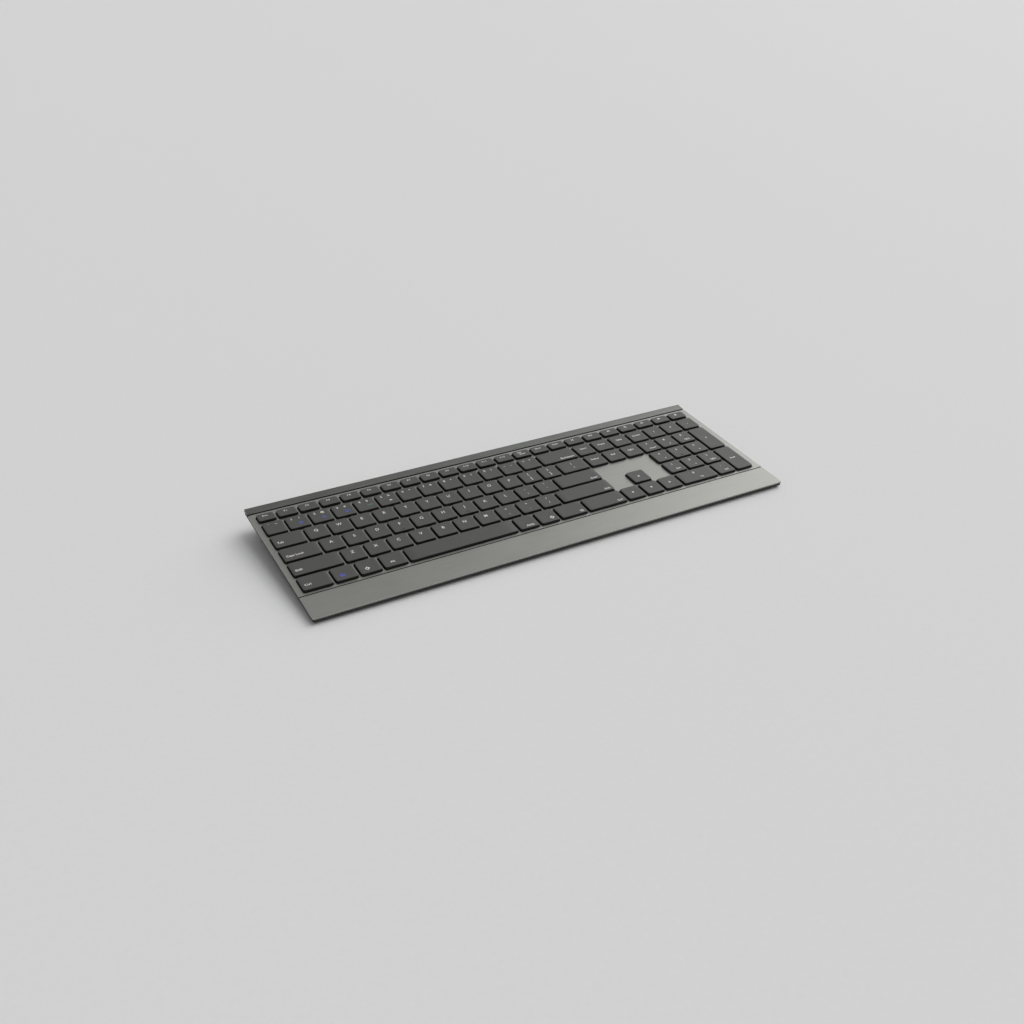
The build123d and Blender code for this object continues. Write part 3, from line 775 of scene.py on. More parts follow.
# ------------------------------------------------------------------ key caps
@dataclass
class KeyCaps(SubAssembly):
    """Low caps with rounded edges and a slightly dished top.

    Attributes:
        corner: Corner radius in plan, in millimetres.
        edge: Radius of the top edge.
        edge_steps: Divisions of a quarter of the top edge.
        dish: Depth of the dish.
        shares: Sizes of the rings on the dish, over the rim's.
        wall: Thickness of the skirt.
        roof: Thickness of the top.
        draft: How much the skirt leans in at the top.
        steps: Divisions of a corner.
        tree: Tree that makes the caps.
    """

    corner: float = 1.7
    edge: float = 0.25
    edge_steps: int = 3
    dish: float = 0.14
    shares: Triple = (0.8, 0.55, 0.28)
    wall: float = 0.9
    roof: float = 0.9
    draft: float = 0.06
    steps: int = 4
    tree: Any = field(default_factory=cap_tree)

    def pattern(self, top: float, bottom: float) -> Mesh:
        """Makes the corner pattern, with how far each point follows its key's corner.

        Args:
            top: Level of the key tops, in metres.
            bottom: Level of the skirts' lower edge.

        Returns:
            The pattern.
        """
        outer, edge, draft, dish = (v * MM for v in (self.corner, self.edge, self.draft, self.dish))
        rings = [(1.0, outer, bottom)]
        for step in range(self.edge_steps + 1):
            angle = math.pi / 2 * step / self.edge_steps
            inset = draft + edge * (1 - math.cos(angle))
            rings.append((1.0, outer - inset, top - edge * (1 - math.sin(angle))))
        rim = outer - draft - edge
        rings += [(share, rim * share, top - dish * (1 - share**2)) for share in self.shares]
        upper = len(rings)
        inner = outer - self.wall * MM
        rings += [(1.0, inner, bottom), (1.0, inner, top - self.roof * MM)]
        corners = [
            (math.pi / 2 * (quarter + step / self.steps), side)
            for quarter, side in enumerate(((1, 1), (-1, 1), (-1, -1), (1, -1)))
            for step in range(self.steps + 1)
        ]
        count = len(corners)
        points = [(r * math.cos(a), r * math.sin(a), z) for _, r, z in rings for a, _ in corners]
        reach = [(x * share, y * share, 0) for share, _, _ in rings for _, (x, y) in corners]
        points.append((0, 0, top - dish))
        reach.append((0, 0, 0))
        faces = [face for ring in range(upper - 1) for face in band(ring * count, (ring + 1) * count, count)]
        last, inside, ceiling = ((upper + ring) * count for ring in (-1, 0, 1))
        faces += [(last + i, last + (i + 1) % count, len(points) - 1) for i in range(count)]
        # The skirt and the lowest step of the top edge stay out of the coat: they get painted shade.
        shade_and_coat = [False] * (2 * count) + [True] * (len(faces) - 2 * count)
        faces += band(inside, 0, count) + band(ceiling, inside, count)
        faces.append(tuple(reversed(range(ceiling, ceiling + count))))
        shade_and_coat += [False] * (len(faces) - len(shade_and_coat))
        mesh = bpy.data.meshes.new("cap_pattern")
        mesh.from_pydata(points, [], faces)
        mesh.attributes.new("coated", "BOOLEAN", "FACE").data.foreach_set("value", shade_and_coat)
        follow = mesh.attributes.new("reach", "FLOAT_VECTOR", "POINT")
        follow.data.foreach_set("vector", [value for row in reach for value in row])
        return mesh

    def level(self, key: Span, x: float, y: float) -> float:
        """Height of a key's dished top at a place.

        Args:
            key: The key's box.
            x: Place along the rows.
            y: Place across the rows.

        Returns:
            The height in the deck's own axes.
        """
        rim = key.size / 2 - Vector((self.edge + self.draft,) * 3) * MM
        share = min(max(abs(x - key.middle.x) / rim.x, abs(y - key.middle.y) / rim.y), 1.0)
        shares = (0.0, *reversed(self.shares), 1.0)
        depth = float(np.interp(share, shares, [1 - share**2 for share in shares]))
        return key.high.z - self.dish * MM * depth

    def build(self, node: str, keys: Sequence[Span]) -> None:
        """Makes the caps of one key body.

        Args:
            node: Name of the key node and body.
            keys: Boxes of its keys.
        """
        corner = self.corner * MM
        places = [Vector((key.middle.x, key.middle.y, 0)) for key in keys]
        halves = [Vector((key.size.x / 2 - corner, key.size.y / 2 - corner, 0)) for key in keys]
        pattern = self.pattern(keys[0].high.z, keys[0].low.z)
        shade_and_coat = {"Skirt": KEY_SIDE_SHADE.material(), "Coat": KEY_PLASTIC.material()}
        mesh = scattered(self.tree, pattern, places, halves, shade_and_coat)
        self.piece(f"caps_{node}", mesh, (), node, "key_plastic", node)


@dataclass
class HomingBars(SubAssembly):
    """Small raised bars that the index fingers find.

    Attributes:
        length: Length along the row, in millimetres.
        width: Width of the bar.
        edge: Width of its chamfer.
        rise: Height over the dished key top.
        dip: How far the dished top lies under the key's highest level there.
        root: How far the bar goes down into the cap.
        front: From the key's front edge to the bar's middle.
        corner: Corner radius over half the width.
    """

    length: float = 3.6
    width: float = 0.65
    edge: float = 0.08
    rise: float = 0.32
    dip: float = 0.1
    root: float = 0.3
    front: float = 2.6
    corner: float = 0.95

    def build(self, node: str, keys: Sequence[Span]) -> None:
        """Puts bars near the front of some keys of one body.

        Args:
            node: Name of the key node and body.
            keys: Boxes of the keys that get a bar.
        """
        made = []
        half_x, half_y = self.length / 2 * MM, self.width / 2 * MM
        for key in keys:
            x, y = key.middle.x, key.low.y + self.front * MM
            span = (x - half_x, x + half_x, y - half_y, y + half_y)
            contour = Contour(span, (half_y * self.corner,) * 2, self.edge * MM)
            top = key.high.z + (self.rise - self.dip) * MM
            made.append(sheet("bar", [contour], key.high.z - self.root * MM, top))
        name = f"homing_bars_{node}"
        self.piece(name, joined(name, made), (KEY_PLASTIC,), node, "key_plastic")


# ------------------------------------------------------------------ legends
class Spot(Enum):
    """Where a legend sits on its key: share of the half size, and how the text lines up."""

    UPPER = (0.0, 0.22, "CENTER")
    CENTRE = (0.0, 0.14, "CENTER")
    MIDDLE = (0.0, 0.0, "CENTER")
    ROW = (-0.06, 0.34, "CENTER")
    FIRST_LINE = (-0.16, 0.44, "CENTER")
    SECOND_LINE = (0.06, -0.10, "CENTER")
    LOWER_LEFT = (-0.72, -0.30, "LEFT")
    LOWER_MIDDLE = (-0.14, -0.36, "CENTER")
    LOWER_RIGHT = (0.72, -0.64, "RIGHT")
    BESIDE = (-0.20, -0.34, "CENTER")
    BESIDE_RIGHT = (0.42, -0.40, "CENTER")
    UPPER_LEFT = (-0.42, 0.52, "CENTER")
    UPPER_RIGHT = (0.34, 0.52, "CENTER")
    BELOW_RIGHT = (0.26, -0.30, "CENTER")
    FAR_RIGHT = (0.58, -0.30, "CENTER")
    SIDE = (0.42, -0.22, "CENTER")
    HIGH = (0.0, 0.40, "CENTER")
    LOW = (0.0, -0.34, "CENTER")
    DIGIT = (-0.04, 0.42, "CENTER")
    BELOW_DIGIT = (0.18, -0.50, "CENTER")


class Ink(Enum):
    """Ink that a legend is printed in."""

    WHITE = WHITE_INK
    BLUE = BLUE_INK
    GREEN = GREEN_INK


@dataclass(frozen=True)
class Mark:
    """One printed text or sign.

    Attributes:
        text: The text, or the name of a sign.
        spot: Its place on the key.
        height: Height of a capital in millimetres, or scale of a sign.
        ink: Its ink.
        tracking: Spacing of the letters over the font's own.
    """

    text: str
    spot: Spot
    height: float
    ink: Ink = Ink.WHITE
    tracking: float = 1.0


def words(texts: str, spot: Spot, height: float, tracking: float = 1.0) -> list[list[Mark]]:
    """One mark per key, from words with spaces between them and underscores in them for spaces."""
    return [[Mark(text.replace("_", " "), spot, height, tracking=tracking)] for text in texts.split()]


def pairs(texts: str, low: Spot, high: Spot, height: float = 2.5) -> list[list[Mark]]:
    """Two marks per key, from words of two signs. The upper one is a little smaller."""
    return [[Mark(text[0], low, height), Mark(text[1], high, 0.88 * height)] for text in texts.split()]


def numbered(figure: str, below: str) -> list[list[Mark]]:
    """Marks of one key of the numeric keypad: its figure, and a word or a sign below, if any."""
    low = [Mark(below, Spot.BELOW_DIGIT, 1.0 if below in SIGNS else 1.9)] if below else []
    return [[Mark(figure, Spot.DIGIT, 2.5), *low]]


def slab(x0: float, x1: float, y0: float, y1: float) -> list[Point]:
    """Corners of a rectangle."""
    return [(x0, y0), (x1, y0), (x1, y1), (x0, y1)]


def hoop(sides: int, outer: float, inner: float) -> list[list[Point]]:
    """Plates of a ring with straight sides.

    Args:
        sides: Number of its sides.
        outer: Its outer radius.
        inner: Its inner radius.

    Returns:
        One plate per side.
    """
    plates = []
    for side in range(sides):
        a, b = (2 * math.pi * turn / sides for turn in (side, side + 1))
        corners = ((outer, a), (outer, b), (inner, b), (inner, a))
        plates.append([(radius * math.cos(turn), radius * math.sin(turn)) for radius, turn in corners])
    return plates


# Signs drawn as flat plates, in millimetres about the middle of the sign.
LEFT = [(-0.8, 0.0), (0.5, -0.8), (0.5, 0.8)]
RIGHT = [(0.8, 0.0), (-0.5, 0.8), (-0.5, -0.8)]
SPEAKER = [(-1.2, -0.4), (-0.6, -0.4), (0.1, -0.9), (0.1, 0.9), (-0.6, 0.4), (-1.2, 0.4)]
SIGNS: dict[str, list[list[Point]]] = {
    "left": [LEFT],
    "right": [RIGHT],
    "up": [[(0.0, 0.8), (-0.8, -0.5), (0.8, -0.5)]],
    "down": [[(0.0, -0.8), (0.8, 0.5), (-0.8, 0.5)]],
    "previous": [slab(-1.2, -0.9, -0.8, 0.8), LEFT],
    "next": [slab(0.9, 1.2, -0.8, 0.8), RIGHT],
    "play": [
        [(-1.4, -0.8), (-0.2, 0.0), (-1.4, 0.8)], slab(0.2, 0.5, -0.8, 0.8), slab(0.9, 1.2, -0.8, 0.8),
    ],
    "quiet": [SPEAKER, slab(0.5, 1.3, -0.15, 0.15)],
    "loud": [
        SPEAKER,
        [(0.5, -0.15), (0.75, -0.15), (0.75, -0.4), (1.05, -0.4), (1.05, -0.15), (1.3, -0.15),
         (1.3, 0.15), (1.05, 0.15), (1.05, 0.4), (0.75, 0.4), (0.75, 0.15), (0.5, 0.15)],
    ],
    "mute": [[(x + 0.3, y) for x, y in SPEAKER], [(-1.1, 0.8), (-0.9, 1.0), (1.0, -0.8), (0.8, -1.0)]],
    "lock": [
        slab(-0.8, 0.8, -0.9, 0.2),
        [(-0.5, 0.3), (-0.3, 0.3), (-0.3, 0.8), (0.3, 0.8), (0.3, 0.3), (0.5, 0.3), (0.5, 1.0), (-0.5, 1.0)],
    ],
    "diamond": hoop(4, 1.3, 0.7),
    "menu": [slab(-1.1, 1.1, *ends) for ends in ((0.55, 0.8), (-0.12, 0.12), (-0.8, -0.55))],
    "ring": hoop(12, 1.05, 0.72),
    "box": [slab(-1.5, 1.5, *ends) for ends in ((-1.1, -0.85), (0.85, 1.1))]
    + [slab(*ends, -0.85, 0.85) for ends in ((-1.5, -1.25), (1.25, 1.5))],
    "cell": [slab(-1.3, 0.9, -0.6, 0.6), slab(1.0, 1.3, -0.3, 0.3)],
}

LEGENDS: dict[str, list[list[Mark]]] = {
    "function_keys": words("Esc F1 F2 F3 F4 F5 F6 F7 F8 F9 F10 F11 F12", Spot.ROW, 1.9, 1.3)
    + [[Mark("Print", Spot.FIRST_LINE, 1.5), Mark("Screen", Spot.SECOND_LINE, 1.5)]]
    + words("ScrLk Pause", Spot.ROW, 1.8),
    "media_keys": words("previous play next mute quiet loud lock", Spot.ROW, 1.4),
    "number_keys": pairs("`~ 1! 2@ 3# 4$ 5% 6^ 7& 8* 9( 0) -_ =+", Spot.UPPER_LEFT, Spot.UPPER_RIGHT),
    "key_backspace": words("Backspace", Spot.LOWER_RIGHT, 2.3),
    "key_tab": words("Tab", Spot.LOWER_LEFT, 2.3),
    "letter_keys_upper": words("Q W E R T Y U I O P", Spot.UPPER, 3.0)
    + pairs("[{ ]}", Spot.LOW, Spot.HIGH, 3.2),
    "key_backslash": pairs("\\|", Spot.LOW, Spot.HIGH),
    "key_caps_lock": words("Caps_Lock", Spot.LOWER_LEFT, 2.3),
    "letter_keys_home": words("A S D F G H J K L", Spot.UPPER, 3.0) + pairs(";: '\"", Spot.LOW, Spot.HIGH),
    "key_enter": words("Enter", Spot.LOWER_RIGHT, 2.2),
    "key_shift_left": words("Shift", Spot.LOWER_LEFT, 2.3),
    "letter_keys_lower": words("Z X C V B N M", Spot.UPPER, 3.0) + pairs(",< .> /?", Spot.LOW, Spot.HIGH),
    "key_shift_right": words("Shift", Spot.LOWER_RIGHT, 2.2),
    "modifier_keys_left": [
        [Mark("Ctrl", Spot.LOWER_LEFT, 2.3)],
        [Mark("Fn", Spot.BESIDE, 1.5, Ink.BLUE), Mark("box", Spot.BESIDE, 1.25, Ink.BLUE)],
        [Mark("diamond", Spot.BESIDE, 1.6)],
        [Mark("Alt", Spot.LOWER_MIDDLE, 2.2)],
    ],
    "modifier_keys_right": [
        [Mark("AltGr", Spot.LOWER_RIGHT, 2.2)],
        [Mark("diamond", Spot.BESIDE_RIGHT, 1.6)],
        [Mark("menu", Spot.LOWER_RIGHT, 1.5)],
        [Mark("Ctrl", Spot.LOWER_RIGHT, 2.2)],
    ],
    "navigation_keys": words("Insert Home PgUp Delete End PgDn", Spot.CENTRE, 2.0),
    "arrow_keys": words("up left down right", Spot.MIDDLE, 1.5),
    "key_numpad_num_lock": words("NumLk", Spot.CENTRE, 1.9),
    "key_numpad_enter": words("Enter", Spot.MIDDLE, 1.9),
    "key_numpad_decimal": numbered(".", "Del"),
}
LEGENDS |= {
    f"key_numpad_{name}": words(text, Spot.MIDDLE, 2.8)
    for name, text in (("divide", "/"), ("multiply", "*"), ("minus", "-"), ("plus", "+"))
}
LEGENDS |= {
    f"key_numpad_{figure}": numbered(str(figure), below)
    for figure, below in enumerate(("Ins", "End", "down", "PgDn", "left", "", "right", "Home", "up", "PgUp"))
}
for key, second in (
    (1, Mark("ring", Spot.BELOW_RIGHT, 1.3, Ink.BLUE)),
    (2, Mark("ring", Spot.BELOW_RIGHT, 1.3, Ink.BLUE)),
    (3, Mark("ring", Spot.BELOW_RIGHT, 1.3, Ink.BLUE)),
    (3, Mark("right", Spot.FAR_RIGHT, 0.8, Ink.BLUE)),
    (4, Mark("2.4G", Spot.SIDE, 1.7, Ink.GREEN)),
    (5, Mark("cell", Spot.BELOW_RIGHT, 0.9)),
):
    LEGENDS["number_keys"][key].append(second)


@dataclass
class Legends(SubAssembly):
    """Printed texts and signs, one thin film of ink per key body and colour.

    Attributes:
        proud: Height of the ink's face over the key top, in millimetres.
        depth: Thickness of the ink.
        capital: Height of a capital over the font's size.
        weight: How much the strokes are thickened.
        margins: From the left or right edge of a key to a text that lines up there.
        half_sign: Half the width of a sign that lines up there.
    """

    proud: float = 0.02
    depth: float = 0.06
    capital: float = 0.71
    weight: float = 0.04
    margins: Point = (2.6, 3.0)
    half_sign: float = 1.1

    def text_mesh(self, mark: Mark) -> Mesh:
        """Makes a text as a mesh in millimetres, lined up at the origin.

        Args:
            mark: The text.

        Returns:
            The mesh.
        """
        curve = bpy.data.curves.new("lettering", "FONT")
        curve.body = mark.text
        curve.size = mark.height / self.capital
        curve.align_x, curve.align_y = mark.spot.value[2], "CENTER"
        curve.extrude = self.depth / 2
        curve.offset = self.weight
        curve.space_character = mark.tracking
        curve.resolution_u = 3
        mesh = flattened(placed("lettering", curve))
        bpy.data.curves.remove(curve)
        return mesh

    def sign_mesh(self, mark: Mark) -> Mesh:
        """Makes a sign as flat plates in millimetres.

        Args:
            mark: The sign.

        Returns:
            The mesh.
        """
        points: list[Triple] = []
        faces: list[Face] = []
        for plate in SIGNS[mark.text]:
            start, count = len(points), len(plate)
            for level in (-self.depth / 2, self.depth / 2):
                faces.append(tuple(range(len(points), len(points) + count)))
                points += [(x * mark.height, y * mark.height, level) for x, y in plate]
            faces += band(start, start + count, count)
        return mesh_from("sign", points, faces, merge=False)

    def printed(self, mark: Mark, key: Span, caps: KeyCaps) -> Mesh:
        """Lays one mark on the dished top of its key.

        Args:
            mark: The mark.
            key: The key's box.
            caps: The caps, which give the height of their tops.

        Returns:
            The mesh.
        """
        is_sign = mark.text in SIGNS
        mesh = self.sign_mesh(mark) if is_sign else self.text_mesh(mark)
        share_x, share_y, align = mark.spot.value
        half = key.size / 2
        x = share_x * half.x
        if align != "CENTER":
            margin = self.margins[share_x > 0] + (self.half_sign if is_sign else 0.0)
            x = math.copysign(half.x - margin * MM, share_x)
        at = Vector((key.middle.x + x, key.middle.y + share_y * half.y, 0))
        mesh.transform(Matrix.Translation(at) @ Matrix.Scale(MM, 4))
        for vertex in mesh.vertices:
            x, y, z = vertex.co
            sunk = 0.0 if z > 0 else self.depth
            vertex.co.z = caps.level(key, x, y) + (self.proud - sunk) * MM
        return mesh

    def build(self, node: str, keys: Sequence[Span], caps: KeyCaps) -> None:
        """Prints the legends of one key body.

        Args:
            node: Name of the key node and body.
            keys: Boxes of its keys.
            caps: The caps that are printed on.
        """
        marked = [(mark, key) for key, marks in zip(keys, LEGENDS.get(node, [])) for mark in marks]
        for ink in Ink:
            made = [self.printed(mark, key, caps) for mark, key in marked if mark.ink is ink]
            if made:
                name = f"legends_{ink.name.lower()}_{node}"
                self.piece(name, joined(name, made), (ink.value,), node, "key_plastic")


# ------------------------------------------------------------------ mechanism under the keys
@dataclass
class Mechanism(SubAssembly):
    """Dome, scissor frames and stabiliser wire under each key.

    Attributes:
        keep: Share of its height that a mechanism keeps under a pressed key.
        steps: Divisions of a dome's turn.
        dome: Radii and heights of a dome of unit size, from the axis round to the axis.
        rails: Width of the rails of the outer and of the inner frame, over the frame's size.
        thick: Thickness of a frame over its height.
        frame_corners: Radii of a frame's outer and inner corners over its size.
        frame_edge: Width of its chamfer over its size.
        wire: Radius of a wire, in millimetres.
        bend: Radius of its bends.
        turn: Length of its turned-in ends.
        clouds: Corners of the CAD's domes, frames and wires.
        tree: Tree that makes domes and frames.
        wires: Tree that makes wires.
    """

    keep: float = 0.5
    steps: int = 16
    dome: tuple[Point, ...] = (
        (0.0, 0.5), (0.22, 0.5), (0.25, 0.46), (0.25, 0.24), (0.28, 0.18), (0.43, -0.36), (0.5, -0.42),
        (0.5, -0.5), (0.40, -0.5), (0.38, -0.42), (0.24, 0.12), (0.2, 0.14), (0.0, 0.14),
    )
    rails: Point = (0.09, 0.11)
    thick: float = 0.17
    frame_corners: Point = (0.1, 0.05)
    frame_edge: float = 0.02
    wire: float = 0.4
    bend: float = 1.0
    turn: float = 2.0
    clouds: dict[str, np.ndarray] = field(default_factory=dict)
    tree: Any = field(default_factory=scatter_tree)
    wires: Any = field(default_factory=wire_tree)

    def __post_init__(self) -> None:
        """Reads where the CAD has its domes, frames and wires."""
        for source in ("rubber_domes", "scissor_outer_frames", "scissor_inner_frames", "stabiliser_wires"):
            self.clouds[source] = self.deck.points(source)

    def dome_mesh(self) -> Mesh:
        """Turns the dome: a flange, a leaning skirt and a plunger.

        Returns:
            The mesh, of unit size.
        """
        turns = [2 * math.pi * step / self.steps for step in range(self.steps)]
        points = [(r * math.cos(turn), r * math.sin(turn), z) for r, z in self.dome for turn in turns]
        starts = range(0, len(points) - self.steps, self.steps)
        faces = [face for start in starts for face in band(start, start + self.steps, self.steps)]
        return mesh_from("dome", points, faces)

    def frame_mesh(self, rail: float, lean: int) -> Mesh:
        """A closed ring of four rails that leans across its box.

        Args:
            rail: Width of a rail over the frame's width.
            lean: 1 where the rear is high, -1 where the front is.

        Returns:
            The mesh, of unit size.
        """
        outline, window = (
            Contour((-half, half, -half, half), (corner, corner), self.frame_edge, hole)
            for half, corner, hole in zip((0.5, 0.5 - rail), self.frame_corners, (False, True))
        )
        mesh = sheet("frame", [outline, window], -self.thick / 2, self.thick / 2)
        for vertex in mesh.vertices:
            vertex.co.z += lean * vertex.co.y * (1 - self.thick)
        return mesh

    def wire_path(self, span: Span) -> Mesh:
        """Path of a stabiliser: a long bar, two arms and turned-in ends.

        Args:
            span: Box of the wire.

        Returns:
            The path as a chain of edges.
        """
        radius = Vector((self.wire * MM,) * 3)
        (x0, y0, z0), (x1, y1, z1) = span.low + radius, span.high - radius
        wide = span.size.x > span.size.y
        low, high, foot, bar = (x0, x1, y1, y0) if wide else (y0, y1, x0, x1)
        half = [(low + self.turn * MM, foot, z0), (low, foot, z0), (low, bar, z1)]
        points = half + [(low + high - along, across, z) for along, across, z in reversed(half)]
        if not wide:
            points = [(across, along, z) for along, across, z in points]
        mesh = bpy.data.meshes.new("path")
        mesh.from_pydata(points, [(i, i + 1) for i in range(len(points) - 1)], [])
        return mesh

    def build(self, node: str, keys: Sequence[Span]) -> None:
        """Makes the mechanisms under the keys of one body.

        Args:
            node: Name of the key node and body.
            keys: Boxes of its keys.
        """
        kinds = [("domes", "rubber_domes", self.dome_mesh(), SILICONE, "dome_silicone")]
        for side, rail, lean in zip(("outer", "inner"), self.rails, (1, -1)):
            mesh = self.frame_mesh(rail, lean)
            kinds.append((f"{side}_frames", f"scissor_{side}_frames", mesh, ACETAL, "scissor_plastic"))
        for label, source, pattern, finish, slot in kinds:
            spans = [Span.around(key.holds(self.clouds[source])) for key in keys]
            places, sizes = zip(*((span.middle, span.size) for span in spans))
            mesh = scattered(self.tree, pattern, places, sizes, {"Finish": finish.material()})
            self.settle(f"{label}_{node}", mesh, slot, source, node, spans[0].low.z)
        shape = {"Radius": self.wire * MM, "Bend": self.bend * MM, "Finish": SPRING_STEEL.material()}
        for number, key in enumerate(keys):
            inside = key.holds(self.clouds["stabiliser_wires"])
            if len(inside):
                span = Span.around(inside)
                mesh = grown(self.wires, self.wire_path(span), shape)
                name = f"stabiliser_{node}_{number}"
                self.settle(name, mesh, "wire_steel", "stabiliser_wires", node, span.low.z)

    def settle(self, name: str, mesh: Mesh, slot: str, source: str, node: str, floor: float) -> None:
        """Puts a piece of the mechanism in place on the chassis.

        Args:
            name: Name of the piece.
            mesh: Its mesh, with its material.
            slot: Material slot of the record.
            source: CAD node that it stands for.
            node: Name of the key node that presses it; not used.
            floor: Level that it rests on; not used.
        """
        made = self.piece(name, mesh, (), "chassis", slot, source)
        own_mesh(made)


# ------------------------------------------------------------------ metal deck and rear bar
@dataclass
class MetalDeck(SubAssembly):
    """The aluminium sheet with its key openings and its groove, and the bar behind it.

    Attributes:
        thickness: Thickness of the sheet, in millimetres.
        corner: Corner radius.
        sharp: Radius of the corners at the groove and the joint.
        cut: Width of the chamfer round the sheet, which carries a painted highlight.
        deburr: Width of the small chamfer at the openings.
        clearance: From a key top to the edge of its opening.
        opening_corner: Corner radius of the openings.
        groove: Front and rear of the groove from the front edge.
        groove_depth: Its depth.
        joint: Width of the joint between the sheet and the bar, whose edges carry painted shade.
        bar_front: Level of the bar's front edge over the sheet.
        bar_flat: Width of the level strip at the bar's rear.
        bar_crown: How far that strip lies under the bar's highest point in the CAD.
    """

    thickness: float = 1.0
    corner: float = 1.6
    sharp: float = 0.02
    cut: float = 0.3
    deburr: float = 0.1
    clearance: float = 0.65
    opening_corner: float = 2.0
    groove: Point = (26.5, 27.5)
    groove_depth: float = 0.45
    joint: float = 0.6
    bar_front: float = 0.1
    bar_flat: float = 0.5
    bar_crown: float = 0.025

    @staticmethod
    def darken(mesh: Mesh, strips: Sequence[Point], level: float = 0.95, slack: float = 0.01) -> None:
        """Gives the chamfers and walls within some strips painted shade, which is finish 2.

        Args:
            mesh: Mesh in the deck's own coordinates.
            strips: Front and rear of each strip.
            level: How upright a face's normal is at most.
            slack: How far a face may lie outside its strip, in millimetres.
        """
        for face in mesh.polygons:
            inside = (low - slack * MM <= face.center.y <= high + slack * MM for low, high in strips)
            if abs(face.normal.z) <= level and any(inside):
                face.material_index = 2

    def build(self, keys: Sequence[Span]) -> None:
        """Makes the sheet in its palm strip, key field and groove floor.

        Args:
            keys: Boxes of all keys.
        """
        whole = self.deck.box("top_cover")
        x0, x1, y1 = whole.low.x, whole.high.x, whole.high.y - self.joint * MM
        corner, cut, sharp, grow = (v * MM for v in (self.corner, self.cut, self.sharp, self.clearance))
        front, rear = (value * MM for value in self.groove)
        radii = (self.opening_corner * MM,) * 2
        openings = [
            Contour(
                (key.low.x - grow, key.high.x + grow, key.low.y - grow, key.high.y + grow),
                radii,
                self.deburr * MM,
                hole=True,
            )
            for key in keys
        ]
        # Slot 1, the outline's chamfer, gets the painted highlight.
        palm = Contour((x0, x1, 0, front), (corner, sharp), cut, slot=1)
        key_field = Contour((x0, x1, rear, y1), (sharp, corner), cut, slot=1)
        floor = Contour((x0, x1, front, rear), (sharp, sharp), 0.0)
        bottom = -self.thickness * MM
        parts = [sheet("palm", [palm], bottom, 0.0), sheet("field", [key_field, *openings], bottom, 0.0)]
        mesh = joined("deck_sheet", parts)
        # The groove's walls and chamfers and the sheet's edge at the joint get painted shade.
        self.darken(mesh, [(front - cut, rear + cut), (y1 - cut, y1)])
        finishes = (DECK_METAL, CHAMFER_HIGHLIGHT, GROOVE_SHADE)
        self.piece("deck_sheet", mesh, finishes, "chassis", "deck_aluminium", "top_cover")
        # The groove's floor is painted shade.
        mesh = sheet("groove", [floor], bottom, -self.groove_depth * MM)
        self.piece("groove_floor", mesh, (GROOVE_SHADE,), "chassis", "deck_aluminium", "top_cover")
        self.build_bar(corner / 2, cut, sharp)

    def build_bar(self, corner: float, cut: float, sharp: float) -> None:
        """Makes the bar, which rises from the joint to a level strip at its rear.

        Args:
            corner: Radius of its rear corners, in metres.
            cut: Width of its chamfer.
            sharp: Radius of its front corners.
        """
        bar = self.deck.box("rear_bar")
        # Slot 1, the bar's chamfer, gets the painted highlight.
        edge = Contour((bar.low.x, bar.high.x, bar.low.y, bar.high.y), (sharp, corner), cut, slot=1)
        front = self.bar_front * MM
        most = bar.high.z - self.bar_crown * MM - front
        slope = (bar.high.z - front) / (bar.size.y - self.bar_flat * MM)
        mesh = sheet("bar", [edge], bar.low.z, front, lambda y: min(slope * (y - bar.low.y), most))
        # The bar's front chamfer at the joint gets painted shade.
        self.darken(mesh, [(bar.low.y, bar.low.y + cut)])
        finishes = (BAR_METAL, CHAMFER_HIGHLIGHT, GROOVE_SHADE)
        self.piece("rear_trim_bar", mesh, finishes, "chassis", "bar_aluminium", "rear_bar")


